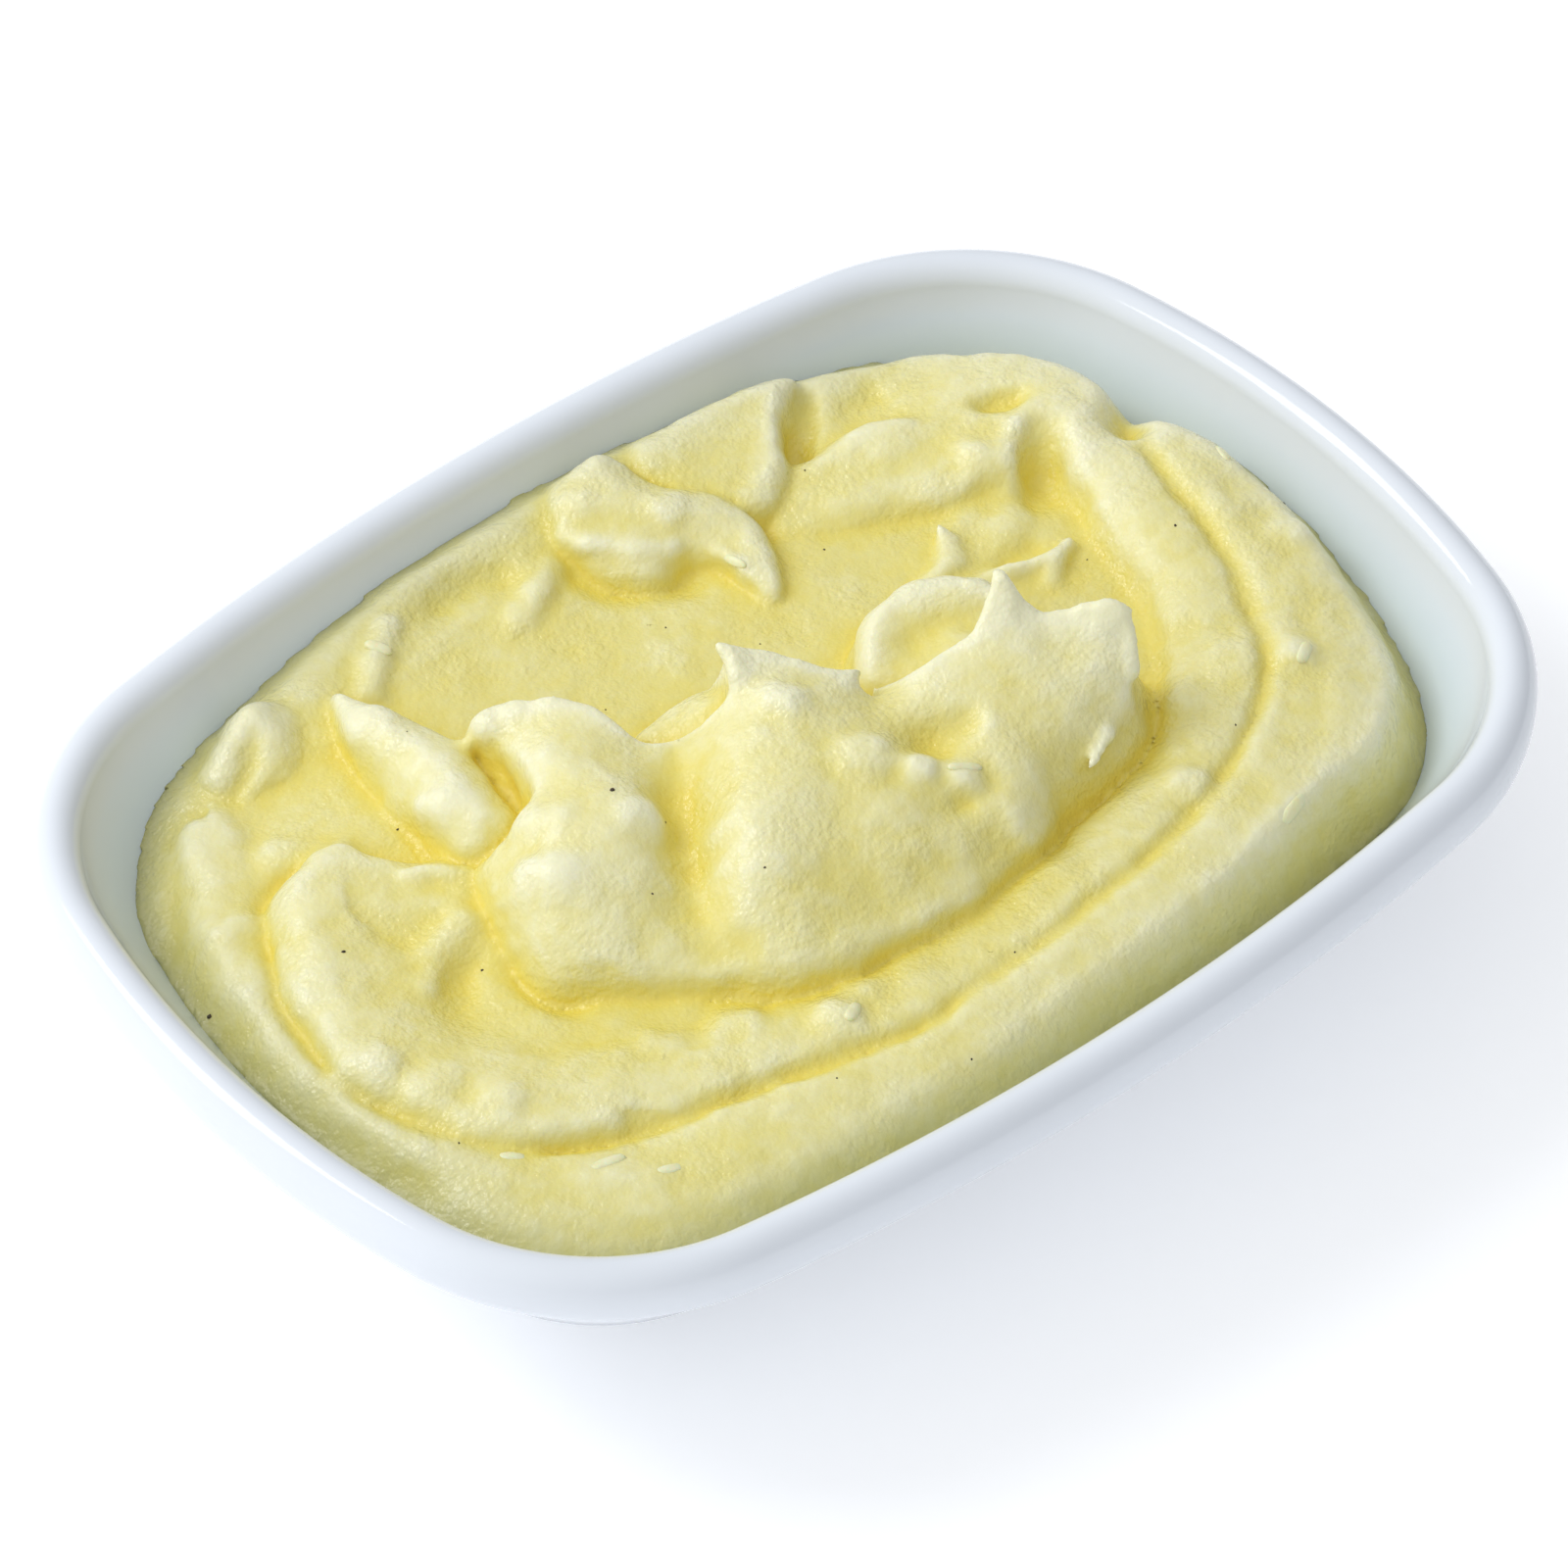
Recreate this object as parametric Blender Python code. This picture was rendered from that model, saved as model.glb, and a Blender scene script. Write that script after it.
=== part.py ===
"""Mashed potato side: an oblong porcelain dish and the swirled mash that fills it.

Lengths are in millimetres up to build_mesh(), which turns them into metres.
The dish stands on z = 0, its long side runs along X, and its middle is the origin.
"""
import math

import bpy
import numpy as np
from mathutils import Vector
from mathutils.geometry import delaunay_2d_cdt

MILLIMETRE = 0.001

# ---------------------------------------------------------------- dish, driving dimensions
DISH_LENGTH = 160.0
DISH_WIDTH = 116.5
DISH_HEIGHT = 32.0
LONG_SIDE_RADIUS = 317.0
SHORT_SIDE_RADIUS = 126.0
CORNER_RADIUS = 33.0

RIM_WIDTH = 5.6
RIM_CROWN = 3.3
RIM_FACE = 3.1
RIM_UNDERCUT = 2.0
RIM_FACE_LEAN = 0.6

WALL_LEAN = 0.65
WALL_THICKNESS = 4.4
FLOOR_TOP = 6.0
FLOOR_FILLET = 7.0
FOOT_INSET = 25.0
FOOT_WIDTH = 4.0
FOOT_RECESS = 1.8

LONG_SIDE_STEPS = 5
CORNER_STEPS = 9
SHORT_SIDE_STEPS = 4
CROWN_STEPS = 6

# ---------------------------------------------------------------- mash, driving dimensions
CONTACT_GAP = 0.3
SHOULDER_RISE = 2.2
SHOULDER_RUN = 3.0
MIDDLE_LEVEL = 26.0
MIDDLE_RUN = 22.0
GRID_STEP = 2.45
EDGE_MARGIN = 1.3

# Where the mash meets the wall: bearing in degrees from +X, depth below the rim's top.
FILL_LINE = (
    (-180, 9.5), (-150, 9.5), (-100, 9.5), (-60, 10.5), (-42, 13.0), (-30, 12.5), (-18, 10.6),
    (-4, 8.7), (6, 8.3), (14, 11.5), (21, 10.3), (32, 11.5), (42, 8.4), (55, 6.0), (73, 5.2),
    (105, 5.2), (120, 6.2), (134, 7.8), (146, 11.0), (158, 12.0),
)

# Folds and lobes: half width, fall at that width, blend, then crest points (x, y, z).
RIDGES = {
    "outer_ring": (5.5, 3.2, 1.0, (
        (65, 10, 25.6), (65, -3, 25.4), (62, -17, 24.2), (56, -28, 23.6), (47, -36, 23.8),
        (34, -41, 24.8), (10, -43, 25.2), (-20, -42, 25.2), (-45, -36, 25.4), (-58, -27, 25.8),
        (-65, -10, 25.8), (-65, 10, 24.6), (-60, 24, 23.8), (-52, 34, 25.4))),
    "inner_ring": (5.0, 2.4, 1.0, (
        (-44, 30, 27.2), (-52, 18, 27.4), (-57, 6, 27.6), (-58, -8, 27.6), (-52, -20, 27.4),
        (-42, -27, 27.2))),
    "spiral_fold": (8.0, 4.0, 1.0, (
        (24, 31, 27.4), (36, 29, 28.4), (48, 26, 29.2), (55, 20, 29.4), (56, 10, 29.4),
        (53, -2, 29.2), (49, -12, 29.0), (43, -20, 28.6), (34, -26, 28.2), (20, -31, 28.0),
        (4, -33, 27.8), (-14, -32, 27.6), (-28, -27, 27.4), (-40, -19, 27.2))),
    "back_fold": (5.0, 3.0, 1.0, (
        (14, 46, 28.6), (25, 48, 28.6), (34, 46, 28.2), (42, 42, 27.2), (49, 37, 25.4))),
    "flap": (7.0, 3.2, 1.0, (
        (5, 44, 29.4), (11, 46, 30.8), (16, 39, 30.8), (17, 31, 30.0), (15, 23, 28.8))),
    "left_bank": (8.0, 2.4, 1.5, ((-36, 42, 28.6), (-22, 46, 28.8), (-8, 47, 29.2), (4, 48, 29.4))),
    "knob": (4.5, 3.2, 1.0, ((-45, 40, 28.6), (-40, 37, 28.6))),
    "spindle": (4.6, 3.6, 0.8, (
        (-34, 35, 29.6), (-33, 27, 31.2), (-32, 18, 30.8), (-33, 11, 29.0))),
    "dollop": (16.0, 9.0, 1.0, (
        (-27, 2, 33.0), (-14, -4, 34.4), (0, -9, 35.4), (14, -12, 36.4), (24, -14, 37.0))),
    "lobe_left": (9.5, 5.5, 2.5, ((-21, 15, 35.2), (-24, 8, 34.8), (-30, -1, 32.6), (-34, -7, 30.2))),
    "lobe_middle": (11.0, 5.0, 3.0, (
        (-2, 6, 38.4), (-6, -3, 37.4), (-12, -12, 34.6), (-19, -19, 30.4))),
    "lobe_right": (11.0, 6.0, 3.0, (
        (24, -5, 41.0), (22, -12, 39.0), (14, -19, 35.6), (3, -24, 31.0))),
    "lobe_end": (8.0, 6.0, 2.0, ((31, -13, 40.4), (29, -18, 38.0), (24, -22, 33.6))),
    "rear_lump": (6.5, 5.0, 1.0, ((20, 3, 34.0), (24, 0, 34.0))),
    "middle_lump": (6.0, 4.6, 1.0, ((-9, 9, 33.4), (-5, 9, 33.6))),
}

# Creases: half width, depth, then points (x, y).
CREASES = {
    "spiral": (1.7, 1.9, (
        (62, 11), (60, 0), (58, -10), (54, -20), (48, -27), (38, -32), (25, -35), (8, -37),
        (-12, -37), (-28, -35))),
    "front": (1.5, 1.4, ((12, -40), (-2, -41), (-20, -40), (-36, -36))),
    "left_fold": (1.5, 1.2, ((-52, 24), (-57, 12), (-61, 0), (-62, -10))),
    "back_notch": (1.6, 2.0, ((28, 33), (34, 38), (39, 41))),
    "hollow": (3.6, 2.6, ((50, 17), (47, 11))),
}

PORCELAIN = (0.80, 0.84, 0.88)
MASH = (0.74, 0.66, 0.30)


# ---------------------------------------------------------------- plan outline
def arc(centre, radius, start, end, steps):
    """Points and outward normals along an arc, without its last point."""
    points = []
    for step in range(steps):
        angle = start + (end - start) * step / steps
        normal = (math.cos(angle), math.sin(angle))
        points.append((centre[0] + radius * normal[0], centre[1] + radius * normal[1], *normal))
    return points


def corner_centre(short_centre, long_centre):
    """Centre of the arc that rolls from the short side's arc into the long side's."""
    reach_short = SHORT_SIDE_RADIUS - CORNER_RADIUS
    reach_long = LONG_SIDE_RADIUS - CORNER_RADIUS
    dx = long_centre[0] - short_centre[0]
    dy = long_centre[1] - short_centre[1]
    apart = math.hypot(dx, dy)
    along = (reach_short ** 2 - reach_long ** 2 + apart ** 2) / (2 * apart)
    across = math.sqrt(reach_short ** 2 - along ** 2)
    ux, uy = dx / apart, dy / apart
    return (short_centre[0] + ux * along - uy * across, short_centre[1] + uy * along + ux * across)


def outline():
    """The rim's outermost line: rows of x, y and the outward normal, all the way round."""
    short_centre = (DISH_LENGTH / 2 - SHORT_SIDE_RADIUS, 0.0)
    long_centre = (0.0, DISH_WIDTH / 2 - LONG_SIDE_RADIUS)
    corner = corner_centre(short_centre, long_centre)
    turn_short = math.atan2(corner[1] - short_centre[1], corner[0] - short_centre[0])
    turn_long = math.atan2(corner[1] - long_centre[1], corner[0] - long_centre[0])
    quarter = arc(short_centre, SHORT_SIDE_RADIUS, 0.0, turn_short, SHORT_SIDE_STEPS)
    quarter += arc(corner, CORNER_RADIUS, turn_short, turn_long, CORNER_STEPS)
    quarter += arc(long_centre, LONG_SIDE_RADIUS, turn_long, math.pi / 2, LONG_SIDE_STEPS)
    top = (0.0, DISH_WIDTH / 2, 0.0, 1.0)
    half = quarter + [top] + [(-x, y, -nx, ny) for x, y, nx, ny in reversed(quarter[1:])]
    return np.array(half + [(-x, -y, -nx, -ny) for x, y, nx, ny in half])


def ring_at(plan, inset, height):
    """The outline moved inwards by inset, at a height; either may vary round the ring."""
    count = len(plan)
    inset = np.broadcast_to(inset, count)
    height = np.broadcast_to(height, count)
    return np.column_stack((plan[:, 0] - plan[:, 2] * inset, plan[:, 1] - plan[:, 3] * inset, height))


# ---------------------------------------------------------------- dish
def wall_inset(height):
    """How far in from the outermost line the inner wall's straight part lies."""
    return RIM_WIDTH + WALL_LEAN * (DISH_HEIGHT - RIM_CROWN - height)


def inner_profile():
    """The inside, from the rim's inner edge down to the flat floor: inset and height."""
    knee = FLOOR_TOP + FLOOR_FILLET
    profile = [(wall_inset(z), z) for z in (DISH_HEIGHT - RIM_CROWN, 24.0, 18.5, knee)]
    toe = (wall_inset(FLOOR_TOP), FLOOR_TOP)
    end = (toe[0] + FLOOR_FILLET, FLOOR_TOP)
    for step in range(1, 4):
        t = step / 4
        inset = (1 - t) ** 2 * profile[3][0] + 2 * t * (1 - t) * toe[0] + t * t * end[0]
        height = (1 - t) ** 2 * knee + 2 * t * (1 - t) * toe[1] + t * t * end[1]
        profile.append((inset, height))
    profile.append(end)
    return profile


def rim_profile():
    """Over the rim, from its inner edge to the foot of its outer face."""
    half = RIM_WIDTH / 2
    spring = DISH_HEIGHT - RIM_CROWN
    profile = []
    for step in range(CROWN_STEPS):
        angle = math.pi * step / CROWN_STEPS
        profile.append((half + half * math.cos(angle), spring + RIM_CROWN * math.sin(angle)))
    profile.append((0.0, spring))
    profile.append((RIM_FACE_LEAN / 3, spring - RIM_FACE / 2))
    profile.append((RIM_FACE_LEAN, spring - RIM_FACE))
    return profile


def outer_profile():
    """Under the rim and down the outside to the foot's inner edge."""
    under = DISH_HEIGHT - RIM_CROWN - RIM_FACE - 0.6
    profile = [(RIM_FACE_LEAN + RIM_UNDERCUT, under)]
    for height in (22.0, 17.0, 12.0):
        profile.append((wall_inset(height) - WALL_THICKNESS, height))
    profile.append((FOOT_INSET - 6.6, 7.0))
    profile.append((FOOT_INSET - 2.4, 3.4))
    profile.append((FOOT_INSET - 0.4, 1.0))
    profile.append((FOOT_INSET, 0.0))
    profile.append((FOOT_INSET + FOOT_WIDTH, 0.0))
    profile.append((FOOT_INSET + FOOT_WIDTH + 0.8, FOOT_RECESS))
    return profile


def bridge(faces, lower, upper, count):
    """Quads between two neighbouring rings whose first vertices are given."""
    for i in range(count):
        j = (i + 1) % count
        faces.append((lower + i, lower + j, upper + j, upper + i))


def build_mesh(name, vertices, faces, colour, roughness):
    """A closed, outward-facing object in metres with its own material."""
    mesh = bpy.data.meshes.new(name)
    scaled = [tuple(float(c) * MILLIMETRE for c in vertex) for vertex in vertices]
    mesh.from_pydata(scaled, [], faces)
    mesh.validate()
    material = bpy.data.materials.new(name)
    material.use_nodes = True
    shader = material.node_tree.nodes["Principled BSDF"]
    shader.inputs["Base Color"].default_value = (*colour, 1.0)
    shader.inputs["Roughness"].default_value = roughness
    shader.inputs["Metallic"].default_value = 0.0
    mesh.materials.append(material)
    mesh.shade_smooth()
    mesh.set_sharp_from_angle(angle=math.radians(50))
    piece = bpy.data.objects.new(name, mesh)
    bpy.context.scene.collection.objects.link(piece)
    return piece


def make_dish(plan):
    """One closed skin: floor, wall, rim, outside, foot ring and the recess under it."""
    profile = inner_profile()[::-1] + rim_profile()[1:] + outer_profile()
    count = len(plan)
    rings = [ring_at(plan, inset, height) for inset, height in profile]
    vertices = np.vstack(rings)
    faces = [tuple(range(count))]
    for step in range(len(rings) - 1):
        bridge(faces, (step + 1) * count, step * count, count)
    last = (len(rings) - 1) * count
    faces.append(tuple(last + i for i in reversed(range(count))))
    return build_mesh("dish", vertices, faces, PORCELAIN, 0.12)


# ---------------------------------------------------------------- mash
def fill_height(x, y):
    """Height at which the mash meets the wall, by bearing from the dish's middle."""
    bearing = np.degrees(np.arctan2(y, x))
    angles = [angle for angle, _ in FILL_LINE]
    depths = [depth for _, depth in FILL_LINE]
    return DISH_HEIGHT - np.interp(bearing, angles, depths, period=360.0)


def distance_to_polyline(x, y, points, closed=False):
    """Distance to a line of points, and how far along it the nearest place is."""
    points = np.asarray(points, float)
    if closed:
        points = np.vstack((points, points[:1]))
    best = np.full(x.shape, np.inf)
    place = np.zeros(x.shape)
    for index in range(len(points) - 1):
        ax, ay = points[index, :2]
        dx, dy = points[index + 1, :2] - points[index, :2]
        t = np.clip(((x - ax) * dx + (y - ay) * dy) / (dx * dx + dy * dy), 0.0, 1.0)
        distance = np.hypot(x - ax - t * dx, y - ay - t * dy)
        nearer = distance < best
        best = np.where(nearer, distance, best)
        place = np.where(nearer, index + t, place)
    return best, place


def smooth_max(a, b, blend):
    """The higher of two surfaces, with the valley between them rounded."""
    reach = np.clip(0.5 + 0.5 * (a - b) / blend, 0.0, 1.0)
    return b + (a - b) * reach + blend * reach * (1.0 - reach)


def mash_top(x, y, from_edge):
    """Height of the mash's surface."""
    fill = fill_height(x, y)
    rise = SHOULDER_RISE * (1.0 - np.exp(-from_edge / SHOULDER_RUN))
    inward = np.clip(from_edge / MIDDLE_RUN, 0.0, 1.0)
    inward = inward * inward * (3.0 - 2.0 * inward)
    top = (fill + rise) * (1.0 - inward) + MIDDLE_LEVEL * inward
    for half_width, fall, blend, points in RIDGES.values():
        distance, place = distance_to_polyline(x, y, points)
        crest = np.interp(place, range(len(points)), [point[2] for point in points])
        top = smooth_max(crest - fall * (distance / half_width) ** 2, top, blend)
    for half_width, depth, points in CREASES.values():
        distance, place = distance_to_polyline(x, y, points)
        top = top - depth * np.exp(-((distance / half_width) ** 2))
    near_wall = np.clip(from_edge / (SHOULDER_RUN * 1.4), 0.0, 1.0)
    edge = fill + SHOULDER_RISE * near_wall
    return np.where(near_wall < 1.0, edge * (1.0 - near_wall) + top * near_wall, top)


def offset_profile(profile, gap):
    """A copy of the inner profile moved into the dish's hollow by the gap, square to itself."""
    moved = []
    for index, (inset, height) in enumerate(profile):
        before = profile[max(index - 1, 0)]
        after = profile[min(index + 1, len(profile) - 1)]
        run, drop = after[0] - before[0], after[1] - before[1]
        length = math.hypot(run, drop)
        moved.append((inset - drop / length * gap, height + run / length * gap))
    return moved


def surface_points(rim_line):
    """A triangular grid of plan points that keeps clear of the mash's edge."""
    points = []
    rows = int(DISH_WIDTH / (GRID_STEP * math.sqrt(0.75)))
    columns = int(DISH_LENGTH / GRID_STEP)
    for row in range(-rows // 2, rows // 2 + 1):
        for column in range(-columns // 2, columns // 2 + 1):
            x = (column + 0.5 * (row % 2)) * GRID_STEP
            points.append((x, row * GRID_STEP * math.sqrt(0.75)))
    points = np.array(points)
    ring = np.vstack((rim_line, rim_line[:1]))
    inside = np.zeros(len(points), bool)
    for (ax, ay), (bx, by) in zip(ring[:-1], ring[1:]):
        crosses = (ay > points[:, 1]) != (by > points[:, 1])
        if by != ay:
            inside ^= crosses & (points[:, 0] < (bx - ax) * (points[:, 1] - ay) / (by - ay) + ax)
    distance, _ = distance_to_polyline(points[:, 0], points[:, 1], rim_line, closed=True)
    return points[inside & (distance > EDGE_MARGIN)], distance[inside & (distance > EDGE_MARGIN)]


def make_mash(plan):
    """One heap: its underside follows the dish, its top carries the folds and lobes."""
    count = len(plan)
    slack = CONTACT_GAP * math.hypot(1.0, WALL_LEAN)
    fill = fill_height(plan[:, 0], plan[:, 1])
    rim_ring = ring_at(plan, wall_inset(fill) + slack, fill)
    lower = offset_profile(inner_profile(), CONTACT_GAP)[2:]
    rings = [rim_ring] + [ring_at(plan, inset, height) for inset, height in lower]
    points, from_edge = surface_points(rim_ring[:, :2])
    heights = mash_top(points[:, 0], points[:, 1], from_edge)
    flat = [Vector(point[:2]) for point in rim_ring] + [Vector(point) for point in points]
    loop = [(i, (i + 1) % count) for i in range(count)]
    triangles = delaunay_2d_cdt(flat, loop, [], 1, 1e-6)[2]
    vertices = list(rim_ring) + [(x, y, z) for (x, y), z in zip(points, heights)]
    faces = [tuple(triangle) for triangle in triangles]
    start = len(vertices)
    for ring in rings[1:]:
        vertices.extend(ring)
    bridge(faces, start, 0, count)
    for step in range(len(rings) - 2):
        bridge(faces, start + (step + 1) * count, start + step * count, count)
    last = start + (len(rings) - 2) * count
    faces.append(tuple(last + i for i in reversed(range(count))))
    return build_mesh("mash", vertices, faces, MASH, 0.45)


def main():
    for item in list(bpy.data.objects):
        bpy.data.objects.remove(item, do_unlink=True)
    plan = outline()
    make_dish(plan)
    make_mash(plan)


main()
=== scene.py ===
"""Looks of the mashed potato side: glazed oblong dish, swirled mash, potato bits and pepper."""
import math

import bpy
import numpy as np
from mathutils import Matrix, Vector
from mathutils.bvhtree import BVHTree


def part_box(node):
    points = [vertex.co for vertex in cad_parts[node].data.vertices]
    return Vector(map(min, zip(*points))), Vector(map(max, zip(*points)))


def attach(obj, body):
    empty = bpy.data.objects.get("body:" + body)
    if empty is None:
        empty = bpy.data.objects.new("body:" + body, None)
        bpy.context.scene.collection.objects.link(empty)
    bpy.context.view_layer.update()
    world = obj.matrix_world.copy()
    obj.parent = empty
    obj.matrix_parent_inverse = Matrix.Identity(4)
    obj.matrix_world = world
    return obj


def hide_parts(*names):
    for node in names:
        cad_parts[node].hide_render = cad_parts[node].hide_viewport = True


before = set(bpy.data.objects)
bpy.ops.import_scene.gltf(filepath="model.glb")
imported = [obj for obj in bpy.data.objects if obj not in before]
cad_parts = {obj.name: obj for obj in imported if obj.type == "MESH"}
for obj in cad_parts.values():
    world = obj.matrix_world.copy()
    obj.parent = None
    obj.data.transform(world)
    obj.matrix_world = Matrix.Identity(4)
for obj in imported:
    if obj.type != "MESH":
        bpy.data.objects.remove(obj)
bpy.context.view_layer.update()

MILLIMETRE = 0.001

# ---------------------------------------------------------------- dish, in millimetres
DISH_LOW, DISH_HIGH = (np.array(corner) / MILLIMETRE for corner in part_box("dish"))
DISH_LENGTH = DISH_HIGH[0] - DISH_LOW[0]
DISH_WIDTH = DISH_HIGH[1] - DISH_LOW[1]
DISH_HEIGHT = DISH_HIGH[2] - DISH_LOW[2]
LONG_SIDE_RADIUS = 317.0
SHORT_SIDE_RADIUS = 126.0
CORNER_RADIUS = 33.0
RIM_WIDTH = 5.6
RIM_CROWN = 3.3
RIM_FACE = 3.1
RIM_UNDERCUT = 2.0
RIM_FACE_LEAN = 0.6
WALL_LEAN = 0.65
WALL_THICKNESS = 4.4
FLOOR_TOP = 6.0
FLOOR_FILLET = 7.0
FOOT_INSET = 25.0
FOOT_WIDTH = 4.0
FOOT_RECESS = 1.8

# ---------------------------------------------------------------- camera
CAMERA_BEARING = -40.3
CAMERA_HEIGHT_ANGLE = 45.9
CAMERA_DISTANCE = 1.2
CAMERA_LENS = 258.0
CAMERA_TARGET = (-0.0049, -0.0049, DISH_HEIGHT * MILLIMETRE)

# ---------------------------------------------------------------- stage
FLOOR_REACH = 3000
FLOOR_TOP_LEVEL = -0.05
FLOOR_GLOW = 0.22
STUDIO_BRIGHT_SIDE = (-118, 35)
STUDIO_DIMMEST = 0.20
STUDIO_BRIGHTEST = 1.12
KEY_BEARING = -142
KEY_HEIGHT_ANGLE = 46
KEY_DISTANCE = 1.2
KEY_SIZE = 0.5
KEY_POWER = 4.2

# ---------------------------------------------------------------- mash, in millimetres
VOXEL = 0.50
SUNK_IN_WALL = 0.25
SHOULDER_RISE = 2.0
SHOULDER_RUN = 2.6
MIDDLE_LEVEL = 26.0
MIDDLE_RUN = 22.0

# Scraped streaks along the walls, the ripple on the folds' crests, and the surface's grain.
COMB_REACH = 18.0
COMB_FADE = 8.0
COMB_DEPTH = 0.28
FOLD_RIPPLE = 0.20
# Each grain's cell size, random seed and height.
GRAIN = ((6.0, 51, 0.20), (2.6, 52, 0.11), (1.25, 53, 0.10))

# Where the mash meets the wall: bearing in degrees from +X, depth below the rim's top.
FILL_LINE = (
    (-180, 9.5), (-150, 9.5), (-100, 9.5), (-60, 10.5), (-42, 13.0), (-30, 12.5), (-18, 10.6),
    (-4, 8.7), (6, 8.3), (14, 11.5), (21, 10.3), (32, 11.5), (42, 8.4), (55, 6.0), (73, 5.2),
    (105, 5.2), (120, 6.2), (134, 7.8), (146, 11.0), (158, 12.0),
)

# Broad folds: left width and fall, right width and fall, blend, crest (x, y, z).
# A fall below zero ends in a rounded ledge, one above zero is a gentle slope.
FOLDS = {
    "outer_ring": (8.0, 2.4, 8.0, 2.4, 1.0, (
        (66.4, 11, 25.0), (66, 6, 26.0), (64.4, -2, 26.2), (61.6, -12, 26.0), (57.4, -22.6, 25.8),
        (49, -32, 25.6), (35, -38.5, 25.0), (19, -41, 25.2), (3, -42, 25.6), (-15, -42, 25.6),
        (-34, -39, 25.6), (-49, -34, 25.6), (-61, -24, 25.6))),
    "left_slope": (7.0, 2.0, 4.0, 2.0, 0.8, (
        (-52, 34, 25.6), (-56, 27, 25.4), (-61, 18, 25.6), (-65, 8, 26.0), (-65.8, -2, 26.2),
        (-64.5, -13, 26.2), (-60, -24, 25.8))),
    "ledge": (16.0, 2.6, 3.2, -2.8, 0.6, (
        (-39, 12, 28.0), (-42.5, 14.5, 28.2), (-46, 19.4, 28.8), (-49.5, 19.6, 28.8),
        (-52.5, 18.6, 28.8), (-55.5, 15, 28.6), (-58.4, 10, 28.4), (-60.2, 4, 28.2),
        (-61, -2, 28.0), (-60.6, -8, 27.8), (-58, -15, 27.6), (-53.6, -20.4, 27.2),
        (-47, -25.4, 27.0))),
    "low_roll": (6.0, 1.8, 4.0, -1.8, 0.8, (
        (-56, -11, 27.4), (-50, -18, 27.6), (-42, -24, 27.4), (-33, -28, 27.4), (-22, -31.4, 27.6),
        (-10, -33.6, 27.8))),
    "spiral_fold": (22.0, 3.4, 5.6, -2.6, 0.7, (
        (27, 31.5, 27.0), (32, 29.4, 27.8), (37, 27, 28.2), (42, 25.2, 28.8), (47, 24.6, 29.6),
        (51.4, 23.6, 30.2), (54.6, 21.6, 30.6), (56.6, 18, 30.8), (57, 13, 30.6), (56.4, 7, 30.4),
        (54.4, 0, 30.2), (51.4, -7.5, 30.0), (47.6, -14.5, 29.8), (42.6, -20.6, 29.6),
        (36, -26, 29.4), (27.6, -29.6, 29.2), (18, -31.8, 28.8), (9, -33, 28.6), (0, -33.4, 28.2),
        (-9, -33, 27.8), (-20, -30.6, 27.4), (-31, -26.4, 27.2))),
    "back_rim": (4.0, 2.0, 6.0, 2.0, 0.8, (
        (36, 47, 28.4), (42, 43.4, 28.6), (47, 40, 28.0), (50.4, 35.4, 27.4), (54, 31.6, 27.2),
        (59, 28, 27.0), (63.4, 23.6, 26.4))),
    "third_fold": (2.6, -2.0, 6.0, 1.8, 0.5, (
        (27, 32.6, 27.0), (31, 33.2, 28.0), (35.4, 32.8, 28.8), (39.4, 32.2, 29.4),
        (43.8, 29.4, 29.4), (49, 25.4, 29.2))),
    "left_bank": (8.0, 2.2, 10.0, 2.2, 1.5, (
        (-34, 43.5, 27.0), (-24, 46.5, 27.6), (-12, 48.5, 28.2), (-2, 49, 28.8), (8, 49.6, 29.2),
        (18, 49.6, 29.4), (28, 48.6, 29.4), (36, 46.6, 29.2))),
}

# Creases between folds: half width, depth, then points (x, y).
CREASES = {
    "main_right": (1.1, 0.9, (
        (61.4, 13), (60.2, 7), (58, -1), (55.4, -8.6), (52.4, -16), (48.4, -22.2), (44, -26.4),
        (38.5, -29.6), (31, -33), (23, -35.2), (14.6, -36.4), (7.4, -37), (-1, -37.4), (-9, -38))),
    "front": (1.0, 1.2, ((-4, -37.6), (-11, -37.6), (-18, -36.4), (-29, -33.8), (-38, -31.4),
                         (-46, -28.8), (-52, -25.8), (-56, -21.6))),
    "left_groove": (1.8, 0.9, ((-44, 25), (-50.6, 23), (-55.4, 19), (-59.4, 13), (-62.6, 6),
                               (-64, -2), (-63, -10), (-59.6, -18))),
    "plate_dip": (5.0, 1.0, ((-42, 10), (-47, 4), (-48.6, -4), (-44.6, -11))),
    "plate_line": (1.4, 0.5, ((-40, 2), (-45, -1), (-50, -5))),
    "deep_spot": (2.0, 1.5, ((-38.6, -1), (-39.4, -5), (-39.6, -8.6), (-37, -13))),
    "behind_flap": (2.2, 1.2, ((21, 36), (22, 31), (21.4, 27))),
    "flap_shadow": (2.4, 1.2, ((2, 44), (2, 39), (4.6, 34), (9.6, 30.4), (13, 27))),
    "bank_dent": (2.4, 1.4, ((-17.6, 42.6), (-11, 43.6), (-6, 42.8), (-2, 40.8))),
    "head_notch": (2.4, 3.6, ((70, 19), (66, 18.4), (62.4, 15.4), (60.6, 11.6))),
    "nose_line": (1.2, 0.7, ((50.6, 27), (53.4, 26.6), (56.6, 24))),
}

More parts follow.
